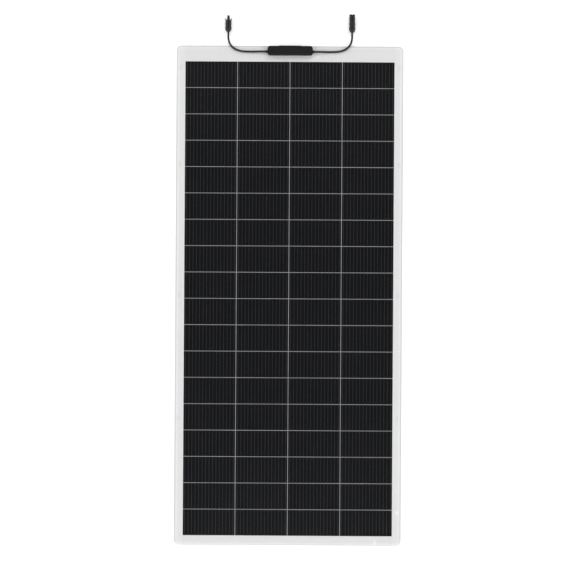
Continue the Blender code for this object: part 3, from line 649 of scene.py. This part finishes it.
def clear_film():
    """A fluoropolymer film: what is under it shows, and only its gloss and fine dimples are seen."""
    recipe = new_finish("clear_film")
    place = recipe.map_place()
    normal = recipe.bump(recipe.noise(place, 1400.0, 1.0), 0.02, 0.00008)
    gloss = recipe.add("ShaderNodeBsdfGlossy", None, {"Color": (1, 1, 1, 1), "Roughness": 0.19,
                                                      "Normal": normal})
    clear = recipe.add("ShaderNodeBsdfTransparent", None, {"Color": (1, 1, 1, 1)})
    facing = recipe.add("ShaderNodeLayerWeight", None, {"Blend": 0.5}, "Facing")
    share = GLOSS_FACING + GLOSS_ACROSS * facing ** 5
    recipe.show(recipe.add("ShaderNodeMixShader", None, {0: share, 1: clear, 2: gloss}))
    return recipe.owner


white_back_finish = white_back()
cell_finish = cell_black()
wire_finish = tinned_wire()
film_finish = clear_film()
print("laminate finishes:", [finish.name for finish in
                             (white_back_finish, cell_finish, wire_finish, film_finish)])

# %% [markdown]
# ## One bending length of laminate
# The real sheet bends evenly, while the frame bends at eight lines between rows. A length that runs
# from the middle of one strip to the middle of the next can turn smoothly over the line between
# them, so one such length is modelled with enough cuts across it, then copied seven times. Its
# ends fall in the gaps between rows of cells, where nothing shows.

# %% Places along the sheet
STRIPS = 9
COLUMNS = 4
CELL_WIDTH = 0.166
CELL_HEIGHT = 0.083
CELL_CHAMFER = 0.001
WIRES_IN_CELL = 15
WIRE_WIDTH = 0.00042
BENDS_IN_CELL = 5
RECESS_EASE = 0.0003
RECESS_STEP = 0.0001
RECESS_UNDER = 0.00004
WIRE_SUNK = 0.00002
WIRE_PROUD = 0.00007
TOUCH = 0.00005
BEYOND = 1

bend_ys = [(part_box(f"back_sheet_{n}")[0].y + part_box(f"back_sheet_{n + 1}")[1].y) / 2
           for n in range(1, STRIPS)]
strip_pitch = bend_ys[0] - bend_ys[1]
row_pitch = strip_pitch / 2
seam_ys = [bend_ys[0] + row_pitch] + [y - row_pitch for y in bend_ys]
back_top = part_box("back_sheet_1")[1].z
cells_low, cells_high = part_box("cell_group_2")
film_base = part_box("front_sheet_1")[0].z
cell_base = cells_low.z
cell_top = cells_high.z
field_half = cells_high.x
recess_drop = back_top - cell_base + RECESS_UNDER
print("strips bend at y =", [round(y, 3) for y in bend_ys])


# %% Plates of the laminate
def bend_places(low, high):
    """Where a length is cut across: between rows, and evenly within each row."""
    count = max(round((high - low) / row_pitch), 1) * BENDS_IN_CELL
    return [low + (high - low) * step / count for step in range(1, count)]


def white_plate(name, low, high, field_low, field_high):
    """The white back, sunk by the thickness of the cells where they lie."""
    piece = block(name, (-half_width, low, 0), (half_width, high, back_top))
    round_outer_corners(piece)
    edge = field_half + RECESS_EASE
    slice_along(piece, 0, [-edge - RECESS_STEP, -edge, edge, edge + RECESS_STEP])
    borders = (field_low, field_low - RECESS_STEP, field_high, field_high + RECESS_STEP)
    slice_along(piece, 1, bend_places(low, high) + [y for y in borders if low < y < high])
    edit(piece)
    pick(piece, "VERT", lambda at, point: at.z > back_top / 2 and abs(at.x) < edge + TOUCH
         and field_low - TOUCH < at.y < field_high + TOUCH)
    bpy.ops.transform.translate(value=(0, 0, -recess_drop))
    deselect_all()
    return piece


def film_plate(name, low, high):
    piece = block(name, (-half_width, low, film_base), (half_width, high, film_top))
    round_outer_corners(piece)
    slice_along(piece, 1, bend_places(low, high))
    return piece


def round_outer_corners(piece):
    """Rounds the upright edges that stand at the sheet's own corners."""
    def at_corner(at, edge):
        return runs_along(edge, 2) and (at.y > box_end - TOUCH or at.y < far_end + TOUCH)

    round_edges(piece, SHEET_CORNER, 8, at_corner)


# %% Cells and wires
def cell_rows(name, first_y, rows):
    """Whole rows of cells: one chamfered cell, repeated along the row and then by rows."""
    left = -field_half
    cell = block(name, (left, first_y - CELL_HEIGHT, cell_base), (left + CELL_WIDTH, first_y, cell_top))
    round_edges(cell, CELL_CHAMFER, 1, lambda at, edge: runs_along(edge, 2))
    slice_along(cell, 1, [first_y - CELL_HEIGHT * step / BENDS_IN_CELL
                          for step in range(1, BENDS_IN_CELL)])
    repeat(cell, COLUMNS, (COLUMN_PITCH, 0, 0))
    repeat(cell, rows, (0, -row_pitch, 0))
    return cell


def repeat(piece, count, step):
    """Copies a piece along a step, all in one mesh."""
    if count > 1:
        modify(piece, "ARRAY", count=count, use_relative_offset=False, use_constant_offset=True,
               constant_offset_displace=step)


def wire_run(name, low, high):
    """The flat wires over the cells: one wire, repeated over a cell and then over the columns."""
    pitch = CELL_WIDTH / WIRES_IN_CELL
    left = -field_half + pitch / 2
    wire = block(name, (left - WIRE_WIDTH / 2, low, cell_top - WIRE_SUNK),
                 (left + WIRE_WIDTH / 2, high, cell_top + WIRE_PROUD))
    slice_along(wire, 1, bend_places(low, high))
    repeat(wire, WIRES_IN_CELL, (pitch, 0, 0))
    repeat(wire, COLUMNS, (COLUMN_PITCH, 0, 0))
    return wire


# %% The bending lengths
def row_top(seam):
    """Where the first cell below a seam starts: half a gap under it."""
    return seam - (row_pitch - CELL_HEIGHT) / 2


top_seam, next_seam = seam_ys[0], seam_ys[1]
length_pieces = [
    (white_plate("white_length", next_seam, top_seam, -BEYOND, BEYOND), white_back_finish,
     "white_laminate", "back_sheet"),
    (cell_rows("cell_length", row_top(top_seam), 2), cell_finish, "cell_silicon", "cell_group"),
    (wire_run("wire_length", next_seam, top_seam), wire_finish, "tinned_copper", None),
    (film_plate("film_length", next_seam, top_seam), film_finish, "clear_film", "front_sheet"),
]
for first, finish, slot, node in length_pieces:
    for number in range(1, STRIPS):
        shift = (0, seam_ys[number - 1] - top_seam, 0)
        piece = copy_of(first, f"{first.name}_{number}", shift)
        dress(piece, finish)
        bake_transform(piece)
        if node:
            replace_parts(piece, f"{node}_{number}", f"{node}_{number + 1}")
    bpy.data.objects.remove(first)
print("eight bending lengths, each", round(strip_pitch * 1000, 1), "mm")

# %% [markdown]
# ## The two ends of the laminate
# Beyond the last seams the sheet doesn't bend, so each end rides on its own strip. These carry the
# rounded corners and the wider margins under which the flat copper runs.

# %% Box end and far end
cells_top = bend_ys[0] + strip_pitch - (row_pitch - CELL_HEIGHT) / 2
cells_bottom = bend_ys[-1] - strip_pitch + (row_pitch - CELL_HEIGHT) / 2

ends = [
    ("box_end", 1, seam_ys[0], box_end, cells_top, "mask_box_end"),
    ("far_end", STRIPS, far_end, seam_ys[-1], row_top(seam_ys[-1]), "mask_far_end"),
]
for place, strip, low, high, first_y, mask in ends:
    body = f"sheet_{strip}"
    field_low = cells_bottom - RECESS_EASE if strip == STRIPS else -BEYOND
    field_high = cells_top + RECESS_EASE if strip == 1 else BEYOND
    white = dress(white_plate(f"white_{place}", low, high, field_low, field_high), white_back_finish)
    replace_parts(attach(white, body), f"back_sheet_{strip}", mask)
    cells = dress(cell_rows(f"cell_{place}", first_y, 1), cell_finish)
    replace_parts(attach(cells, body), f"cell_group_{strip}")
    wire_low = cells_bottom if strip == STRIPS else low
    wire_high = cells_top if strip == 1 else high
    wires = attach(dress(wire_run(f"wire_{place}", wire_low, wire_high), wire_finish), body)
    film = dress(film_plate(f"film_{place}", low, high), film_finish)
    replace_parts(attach(film, body), f"front_sheet_{strip}")
print("cells run from", round(cells_bottom, 4), "to", round(cells_top, 4))

# %% [markdown]
# ## Finishes of the box, the cables and the connectors
# All of these are black, so what tells them apart is how they shine. The box is moulded with a fine
# spark texture, the connectors are smoother, the cable's jacket is satin with a faint ripple from
# its making, and the seals are dull. A few faint scuffs from handling break up the moulded pieces.

# %% Moulded blacks
def moulded_black(name, base, roughness, shine, grain_scale, grain_depth):
    """Filled nylon: a fine moulded grain, cloudy flow marks and a few faint scuffs."""
    recipe = new_finish(name)
    place = recipe.object_place()
    flow = recipe.noise(place, 60.0, 3.0)
    scuffs = recipe.between(recipe.noise(place, 420.0, 4.0, (0.25, 1, 1)), 0.66, 0.78)
    grain = recipe.noise(place, grain_scale, 2.0)
    tone = base * (0.85 + 0.3 * flow) + 0.008 * scuffs
    return recipe.surface(Base_Color=recipe.grey(tone), Specular_IOR_Level=shine,
                          Roughness=roughness + 0.12 * flow + 0.1 * scuffs,
                          Normal=recipe.bump(grain, 0.35, grain_depth))


def cable_jacket():
    """Extruded jacket: satin black, with a slow ripple and a trace of dust."""
    recipe = new_finish("cable_jacket")
    place = recipe.object_place()
    dust = recipe.between(recipe.noise(place, 700.0, 4.0), 0.55, 0.8)
    ripple = recipe.noise(place, 160.0, 2.0)
    return recipe.surface(Base_Color=recipe.grey(0.011 + 0.02 * dust), Roughness=0.44 + 0.2 * dust,
                          Specular_IOR_Level=0.28, Normal=recipe.bump(ripple, 0.2, 0.0002))


# %% Rubber, foam and tinned copper
def seal_rubber():
    """Dull rubber with a faint pale bloom."""
    recipe = new_finish("seal_rubber")
    place = recipe.object_place()
    bloom = recipe.noise(place, 300.0, 3.0)
    return recipe.surface(Base_Color=recipe.grey(0.010 + 0.012 * bloom), Roughness=0.7 + 0.15 * bloom,
                          Specular_IOR_Level=0.3, Normal=recipe.bump(bloom, 0.15, 0.0001))


def foam_pad():
    """Closed-cell foam tape: dark grey, with open bubbles on its cut edge."""
    recipe = new_finish("foam_pad")
    place = recipe.object_place()
    cells = recipe.add("ShaderNodeTexVoronoi", None, {"Vector": place, "Scale": 2200.0})
    return recipe.surface(Base_Color=recipe.grey(0.03 + 0.04 * cells), Roughness=0.95,
                          Normal=recipe.bump(cells, 0.6, 0.0002))


def tinned_copper():
    """Dull tin over copper, drawn along the strip."""
    recipe = new_finish("tinned_copper")
    place = recipe.object_place()
    drawn = recipe.noise(place, 1500.0, 2.0, (0.05, 1, 1))
    stain = recipe.noise(place, 90.0, 3.0)
    colour = recipe.mix(recipe.between(stain, 0.5, 0.8), (0.60, 0.60, 0.58), (0.50, 0.44, 0.36))
    return recipe.surface(Base_Color=colour, Metallic=1.0, Roughness=0.3 + 0.25 * drawn)


box_finish = moulded_black("box_plastic", base=0.0066, roughness=0.42, shine=0.2,
                           grain_scale=2600.0, grain_depth=0.00012)
connector_finish = moulded_black("connector_plastic", base=0.0085, roughness=0.27, shine=0.4,
                                 grain_scale=3400.0, grain_depth=0.00004)
jacket_finish = cable_jacket()
rubber_finish = seal_rubber()
foam_finish = foam_pad()
tin_finish = tinned_copper()


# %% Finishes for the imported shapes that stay
def keep_cad(names, finish):
    """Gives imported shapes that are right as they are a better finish."""
    for name in names:
        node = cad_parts[name]
        node.data.materials.clear()
        node.data.materials.append(finish)


keep_cad(["box_gasket", "cable_gland_left", "cable_gland_right", "plug_cable_seal",
          "socket_cable_seal"], rubber_finish)
keep_cad(["box_adhesive"], foam_finish)
keep_cad(["terminal_left", "terminal_middle", "terminal_right", "bus_lead_left", "bus_lead_right",
          "bus_link_box_end", "bus_link_far_left", "bus_link_far_right", "plug_contact",
          "socket_contact"], tin_finish)
keep_cad(["bypass_diode_left", "bypass_diode_right", "plug_clamp_ring", "socket_clamp_ring"],
         connector_finish)
print("black finishes:", [finish.name for finish in
                          (box_finish, connector_finish, jacket_finish, rubber_finish)])

# %% [markdown]
# ## The junction box
# The box is a low tray that is stuck to the sheet. Its wall stands a little inside a thin foot, as
# on most such boxes, and a lid with sloped ends closes it over a seal. Both start as blocks with
# rounded corners, and insets and extrusions hollow them out.

# %% Sizes of the box
BOX_CORNER = 0.0085
BOX_WALL = 0.0020
FOOT_HEIGHT = 0.0013
FOOT_REACH = 0.00035
BOX_FLOOR = 0.0014
BOX_EDGE_ROUND = 0.0003
BORE_EASE = 0.0002
BORE_RUN = 0.012
LID_GAP = 0.00005
LID_SLOPE_RUN = 0.0115
LID_SLOPE_SHIFT = 0.001
LID_END_DROP = 0.0016
LID_STEP = 0.0004
LID_ROOF = 0.0017
LID_EDGE_ROUND = 0.00045
LIP_GAP = 0.0003
LIP_WALL = 0.0012
LIP_DEPTH = 0.0015
LIP_ROOT = 0.0004
CUT_BEYOND = 0.001
TAB_HALF = 0.036
TAB_RUN = 0.003
TAB_TOP_STEP = 0.0006

gland_radius = (gland_high.z - gland_low.z) / 2
lid_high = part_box("box_lid")[1]
lid_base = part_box("box_gasket")[1].z + LID_GAP
tab_reach = lid_high.y - box_high.y
slope_start = box_high.x + LID_SLOPE_SHIFT - LID_SLOPE_RUN
print("the lid slopes down from", round(slope_start * 1000, 1), "mm to its ends")


# %% Faces to push
def end_face(piece, number, sign):
    """In edit mode, selects the outermost face that looks along one axis."""
    places = [v.co[number] * sign for v in bmesh.from_edit_mesh(piece.data).verts]
    outermost = max(places)
    pick(piece, "FACE", lambda at, face: face.normal[number] * sign > 0.9
         and at[number] * sign > outermost - TOUCH)


def push_face(step):
    """Extrudes the selected face along a step."""
    bpy.ops.mesh.extrude_region_move(TRANSFORM_OT_translate={"value": step})


# %% Box tray
def box_tray():
    """The foot, the wall on it, and the hollow, all pushed out of one block's top face."""
    tray = block("box_tray", box_low, (box_high.x, box_high.y, box_low.z + FOOT_HEIGHT))
    round_edges(tray, BOX_CORNER, 10, lambda at, edge: runs_along(edge, 2))
    wall_height = box_high.z - box_low.z - FOOT_HEIGHT
    edit(tray)
    end_face(tray, 2, 1)
    bpy.ops.mesh.inset(thickness=FOOT_REACH)
    push_face((0, 0, wall_height))
    bpy.ops.mesh.inset(thickness=BOX_WALL - FOOT_REACH)
    push_face((0, 0, box_low.z + BOX_FLOOR - box_high.z))
    for side in (-1, 1):
        deselect_all()
        bpy.ops.mesh.primitive_cylinder_add(vertices=48, radius=gland_radius + BORE_EASE,
                                            depth=BORE_RUN, rotation=(0, math.pi / 2, 0),
                                            location=(side * box_high.x, cable_y, cable_z))
        combine(tray, bpy.context.object)
    soften(tray, BOX_EDGE_ROUND, 2, 40)
    return tray


tray = dress(box_tray(), box_finish, 30, True)
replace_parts(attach(tray, "sheet_1"), "box_base")
print("box tray stands", round((box_high.z - box_low.z) * 1000, 1), "mm tall")


# %% [markdown]
# ## The lid
# The lid's ends slope down in a small step, a shallow tab on its outer edge gives a finger a hold,
# and a frame under it drops inside the wall. The shell is cut from one block by planes, because a
# slope made that way is truly flat. The frame is a second block, joined on and then hollowed.

# %% Lid shell
def box_cover():
    """The lid: sloped ends, and a finger tab on its outer edge."""
    lid = block("box_cover", (box_low.x, box_low.y, lid_base), (box_high.x, box_high.y, lid_high.z))
    round_edges(lid, BOX_CORNER, 10, lambda at, edge: runs_along(edge, 2))
    slice_along(lid, 0, [-TAB_HALF, TAB_RUN - TAB_HALF, TAB_HALF - TAB_RUN, TAB_HALF])
    slice_along(lid, 2, [lid_high.z - TAB_TOP_STEP])
    edit(lid)
    pick(lid, "VERT", lambda at, point: at.y > box_high.y - TOUCH and at.z < lid_high.z - TOUCH
         and abs(at.x) < TAB_HALF - TAB_RUN + TOUCH)
    bpy.ops.transform.translate(value=(0, tab_reach, 0))
    slope = math.atan2(LID_END_DROP, LID_SLOPE_RUN)
    for side in (-1, 1):
        bpy.ops.mesh.select_all(action="SELECT")
        bpy.ops.mesh.bisect(plane_co=(side * slope_start, 0, lid_high.z),
                            plane_no=(side * math.sin(slope), 0, math.cos(slope)),
                            use_fill=True, clear_outer=True)
    slice_along(lid, 0, [-slope_start - LID_STEP, slope_start + LID_STEP])
    edit(lid)
    pick(lid, "VERT", lambda at, point: abs(at.x) > slope_start + LID_STEP / 2
         and at.z > lid_base + LID_STEP)
    bpy.ops.transform.translate(value=(0, 0, -LID_STEP))
    deselect_all()
    return lid


# %% Frame under the lid
def lid_lip():
    """The locating frame under the lid, still filled."""
    reach = BOX_WALL + LIP_GAP
    lip = block("lid_lip", (box_low.x + reach, box_low.y + reach, lid_base - LIP_DEPTH),
                (box_high.x - reach, box_high.y - reach, lid_base + LIP_ROOT))
    round_edges(lip, BOX_CORNER - reach, 8, lambda at, edge: runs_along(edge, 2))
    return lip


def lid_hollow():
    """What is cut out from inside the frame, up to the underside of the roof."""
    reach = BOX_WALL + LIP_GAP + LIP_WALL
    bottom = lid_base - LIP_DEPTH - CUT_BEYOND
    hollow = block("lid_hollow", (box_low.x + reach, box_low.y + reach, bottom),
                   (box_high.x - reach, box_high.y - reach, lid_high.z - LID_ROOF - LID_STEP))
    round_edges(hollow, BOX_CORNER - reach, 8, lambda at, edge: runs_along(edge, 2))
    return hollow


lid = box_cover()
combine(lid, lid_lip(), "UNION")
combine(lid, lid_hollow())
soften(lid, LID_EDGE_ROUND, 3, 30)
dress(lid, box_finish, 35, True)
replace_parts(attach(lid, "lid"), "box_lid")
print("lid is", len(lid.data.polygons), "faces")

# %% [markdown]
# ## The cable boots
# A short rubber boot grips each cable where it leaves the box, so that it doesn't kink at the wall.
# Its profile is a list of a radius, in cable radii, and a distance, in boot lengths.

# %% Cable boots
BOOT_LENGTH = 0.0052
SMALL_ROUND = 0.00012
BOOT_PROFILE = [(1.04, 0.0), (1.53, 0.0), (1.53, 0.16), (1.42, 0.22), (1.42, 0.36), (1.36, 0.42),
                (1.36, 0.58), (1.28, 0.64), (1.28, 0.82), (1.15, 1.0), (1.04, 1.0), (1.04, 0.0)]

for side, name in ((-1, "cable_boot_left"), (1, "cable_boot_right")):
    profile = [(radius * CABLE_RADIUS, along * BOOT_LENGTH) for radius, along in BOOT_PROFILE]
    boot = turned(name, profile, (side * gland_high.x, cable_y, cable_z), (side, 0, 0), 48)
    soften(boot, SMALL_ROUND, 2, 35)
    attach(dress(boot, rubber_finish), "sheet_1")
    print(name, "is", round(BOOT_LENGTH * 1000, 1), "mm long")

# %% [markdown]
# ## The nuts of the connectors
# Each connector's cable goes through a domed nut with eight flats, which squeezes a clamp ring onto
# it. It could be built flat by flat. Turning a dome and then cutting it with an eight-sided bar is
# simpler, and each flat fades out on the dome by itself. The profile is drawn as on a turner's
# sheet, as pairs of a radius and a distance from the cable end.

# %% Nuts
THREAD_RADIUS = 0.0078
THREAD_EASE = 0.0003
NUT_BORE = CABLE_RADIUS + 0.00042
NUT_FLATS = 0.955
NUT_MOUTH = 0.94
NUT_MOUTH_RUN = 0.0020
NUT_THROAT = [(NUT_BORE, 0), (NUT_BORE, 0.0012), (0.0064, 0.0046)]
NUT_THREAD_END = 0.0064
NUT_EDGE_ROUND = 0.00018
FACET_ANGLE = 14
SHADE_ANGLE = 24
TURNED_STEPS = 64
DOME = [(1, 0.0115), (0.97, 0.0095), (0.945, 0.0083), (0.90, 0.0071), (0.84, 0.0055), (0.77, 0.0039),
        (0.70, 0.0029), (0.61, 0.0020), (0.51, 0.0008), (0.41, 0)]

plug_axis = Vector((-CONNECTOR_X, plug_start, plug_axis_z))
socket_axis = Vector((CONNECTOR_X, plug_start, socket_axis_z))
ALONG = (0, 1, 0)


def gland_nut(name, node, start):
    """A domed nut: turned, then cut to eight flats, one of them on top."""
    low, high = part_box(node)
    length = high.y - low.y
    radius = (high.z - low.z) / 2 / NUT_FLATS
    thread = THREAD_RADIUS + THREAD_EASE
    profile = [(thread, length), (NUT_MOUTH * radius, length), (radius, length - NUT_MOUTH_RUN)]
    profile += [(share * radius, along) for share, along in DOME]
    profile += [*NUT_THROAT, (thread, NUT_THREAD_END), (thread, length)]
    nut = turned(name, profile, start, ALONG, TURNED_STEPS)
    deselect_all()
    bpy.ops.mesh.primitive_cylinder_add(vertices=8, radius=radius * NUT_FLATS / math.cos(math.pi / 8),
                                        depth=3 * length, location=start,
                                        rotation=(math.pi / 2, math.pi / 8, 0))
    combine(nut, bpy.context.object, "INTERSECT")
    soften(nut, NUT_EDGE_ROUND, 2, FACET_ANGLE)
    dress(nut, connector_finish, SHADE_ANGLE, True)
    return nut


plug_nut = gland_nut("plug_gland_nut", "plug_nut", plug_axis)
socket_nut = gland_nut("socket_gland_nut", "socket_nut", socket_axis)
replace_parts(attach(plug_nut, "plug_nut"), "plug_nut")
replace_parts(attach(socket_nut, "socket_nut"), "socket_nut")
print("each nut has", len(plug_nut.data.polygons), "faces")

# %% [markdown]
# ## The housings
# The plug ends in a slim nose between two latch arms, and the socket in an open mouth with a channel
# and two windows that the arms snap into. Both are round about the cable, so both are turned, and
# share the threaded end that the nut screws onto. What isn't round is then cut across them.

# %% Threaded end
SEAL_SEAT = 0.0063
SEAL_SEAT_ENDS = (0.0074, 0.0148)
CONTACT_BORE = 0.0029
THREAD_TURNS = 6
THREAD_START = 0.0178
THREAD_PITCH = 0.0015
THREAD_DEPTH = 0.00045
CREST_ENDS = (0.0005, 0.0008)
ROOT_WIDTH = 0.0001


def threaded_back():
    """The housing's threaded end, from its shoulder to the seats for the seal and the contact."""
    points = [(THREAD_RADIUS - THREAD_DEPTH, THREAD_START)]
    for turn in range(THREAD_TURNS):
        root = THREAD_START - turn * THREAD_PITCH
        points += [(THREAD_RADIUS, root - end) for end in CREST_ENDS]
        points += [(THREAD_RADIUS - THREAD_DEPTH, root - THREAD_PITCH + ROOT_WIDTH)]
    return points + [(SEAL_SEAT, end) for end in SEAL_SEAT_ENDS] + [(CONTACT_BORE, SEAL_SEAT_ENDS[1])]


def across(name, start, low, high):
    """A block in the connector's own axes, for cutting with."""
    return block(name, start + Vector(low), start + Vector(high))


print("the thread has", THREAD_TURNS, "turns of", THREAD_PITCH * 1000, "mm")

# %% Plug housing
PLUG_OUTSIDE = [(CONTACT_BORE, 0.0530), (0.0034, 0.0530), (0.0040, 0.0522), (0.0040, 0.0402),
                (0.0052, 0.0396), (0.0076, 0.0388), (0.0090, 0.0376), (0.0094, 0.0355),
                (0.0094, 0.0292), (0.0101, 0.0278), (0.0101, 0.0250), (0.0095, 0.0226),
                (0.0095, 0.0182)]
HOUSING_EDGE_ROUND = 0.00022
ARM_HALF = 0.0025
ARM_SIDE_GAP = 0.0004
ARM_SLOT_X = (0.0067, 0.0130)
ARM_SLOT_Y = (0.0286, 0.0405)

slot_half = ARM_HALF + ARM_SIDE_GAP


def plug_body():
    """The housing with the slim nose, and a slot on each side for the root of an arm."""
    profile = PLUG_OUTSIDE + threaded_back()
    body = turned("plug_body", profile + profile[:1], plug_axis, ALONG, TURNED_STEPS)
    for side in (-1, 1):
        low_x, high_x = sorted(side * x for x in ARM_SLOT_X)
        combine(body, across("arm_slot", plug_axis, (low_x, ARM_SLOT_Y[0], -slot_half),
                             (high_x, ARM_SLOT_Y[1], slot_half)))
    soften(body, HOUSING_EDGE_ROUND, 3, FACET_ANGLE)
    return body


plug_shell = dress(plug_body(), connector_finish, SHADE_ANGLE, True)
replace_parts(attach(plug_shell, "sheet_1"), "plug_housing")
print("plug body", len(plug_shell.data.polygons), "faces")

# %% Socket housing
MOUTH_RADIUS = 0.0054
MOUTH_FLOOR = 0.0360
SOCKET_OUTSIDE = [(MOUTH_RADIUS, 0.0574), (0.0092, 0.0574), (0.0094, 0.0566), (0.0094, 0.0538),
                  (0.0086, 0.0520), (0.0086, 0.0503), (0.0100, 0.0490), (0.0100, 0.0450),
                  (0.0095, 0.0425), (0.0095, 0.0318), (0.0104, 0.0290), (0.0104, 0.0247),
                  (0.0094, 0.0222), (0.0094, 0.0182)]
CHANNEL_HALF = 0.0077
CHANNEL_Y = (0.0430, 0.0600)
WINDOW_HALF = 0.0130
WINDOW_Y = (0.0440, 0.0495)
NOTCH_OUTLINE = [(-0.0042, 0.0580), (0, 0.0552), (0.0042, 0.0580)]
NOTCH_HALF = 0.013


def cut_both_sides(body, name, half, ends):
    """Cuts a slot as wide as an arm with its gaps through both sides of the socket."""
    combine(body, across(name, socket_axis, (-half, ends[0], -slot_half), (half, ends[1], slot_half)))


def socket_body():
    """The housing with the open mouth, a channel and a window for the arms, and a notched end."""
    profile = SOCKET_OUTSIDE + threaded_back()
    profile += [(CONTACT_BORE, MOUTH_FLOOR), (MOUTH_RADIUS, MOUTH_FLOOR)]
    body = turned("socket_body", profile + profile[:1], socket_axis, ALONG, TURNED_STEPS)
    cut_both_sides(body, "channel", CHANNEL_HALF, CHANNEL_Y)
    cut_both_sides(body, "window", WINDOW_HALF, WINDOW_Y)
    notch = [socket_axis + Vector((x, y, -NOTCH_HALF)) for x, y in NOTCH_OUTLINE]
    combine(body, plate_of("notch", notch, 2 * NOTCH_HALF))
    soften(body, HOUSING_EDGE_ROUND, 3, FACET_ANGLE)
    return body


socket_shell = dress(socket_body(), connector_finish, SHADE_ANGLE, True)
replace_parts(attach(socket_shell, "sheet_1"), "socket_housing")
print("socket body", len(socket_shell.data.polygons), "faces")

# %% [markdown]
# ## The latch arms and the sealing ring
# Two springy arms grow out of the plug and hold it in the socket. Each is flat, so its outline is
# drawn from above and pulled up to its height. A rubber ring round the nose keeps water out. A
# torus primitive would do, but a turned circle shares the helper and sits on the same axis.

# %% Latch arms
ARM_OUTLINE = [(0.0079, 0.0289), (0.0096, 0.0289), (0.0096, 0.0372), (0.0107, 0.0396),
               (0.0111, 0.0408), (0.0098, 0.0440), (0.0086, 0.0440), (0.0084, 0.0400),
               (0.0079, 0.0375)]
ARM_EDGE_ROUND = 0.0002


def latch_arm(name, side):
    """One flat arm with a barbed tip, drawn from above and pulled up to its height."""
    points = [plug_axis + Vector((side * x, along, -ARM_HALF)) for x, along in ARM_OUTLINE]
    arm = plate_of(name, points, 2 * ARM_HALF)
    soften(arm, ARM_EDGE_ROUND, 2, 30)
    dress(arm, connector_finish, 30, True)
    return arm


latch_left = latch_arm("plug_arm_left", -1)
latch_right = latch_arm("plug_arm_right", 1)
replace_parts(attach(latch_left, "latch_left"), "plug_latch_left")
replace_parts(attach(latch_right, "latch_right"), "plug_latch_right")
print("each arm is", round(2 * ARM_HALF * 1000, 1), "mm tall")

# %% Sealing ring
RING_MIDDLE = 0.0047
RING_THICK = 0.0005
RING_ALONG = 0.04145
RING_SIDES = 12

ring_turns = [-side * math.tau / RING_SIDES for side in range(RING_SIDES + 1)]
ring_profile = [(RING_MIDDLE + RING_THICK * math.cos(turn),
                 RING_ALONG + RING_THICK * math.sin(turn)) for turn in ring_turns]
o_ring = dress(turned("plug_sealing_ring", ring_profile, plug_axis, ALONG, 48), rubber_finish, 60)
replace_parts(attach(o_ring, "sheet_1"), "plug_o_ring")
print("the ring is", round(2 * (RING_MIDDLE + RING_THICK) * 1000, 1), "mm across")

# %% [markdown]
# ## Finishing the cables
# Each cable gets its jacket finish, rides on the first strip and takes the place of its imported cable.
# The pieces of its connector are listed with it and counted.

# %% Cords
left_pieces = [plug_shell, plug_nut, latch_left, latch_right, o_ring]
left_pieces += [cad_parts[name] for name in ("plug_contact", "plug_cable_seal", "plug_clamp_ring")]
right_pieces = [socket_shell, socket_nut]
right_pieces += [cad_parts[name] for name in ("socket_contact", "socket_cable_seal",
                                                   "socket_clamp_ring")]
for run, node, side, length, pieces in (
        (cable_left, "cable_left", -1, cable_left_length, left_pieces),
        (cable_right, "cable_right", 1, cable_right_length, right_pieces)):
    run.data.materials.append(jacket_finish)
    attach(run, "sheet_1")
    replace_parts(run, node)
    side * box_high.x
    print(run.name, "carries", len(pieces), "pieces")

# %% Sizes, and the last line
low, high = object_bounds()
print("the dressed model measures", [round(v, 4) for v in high - low])
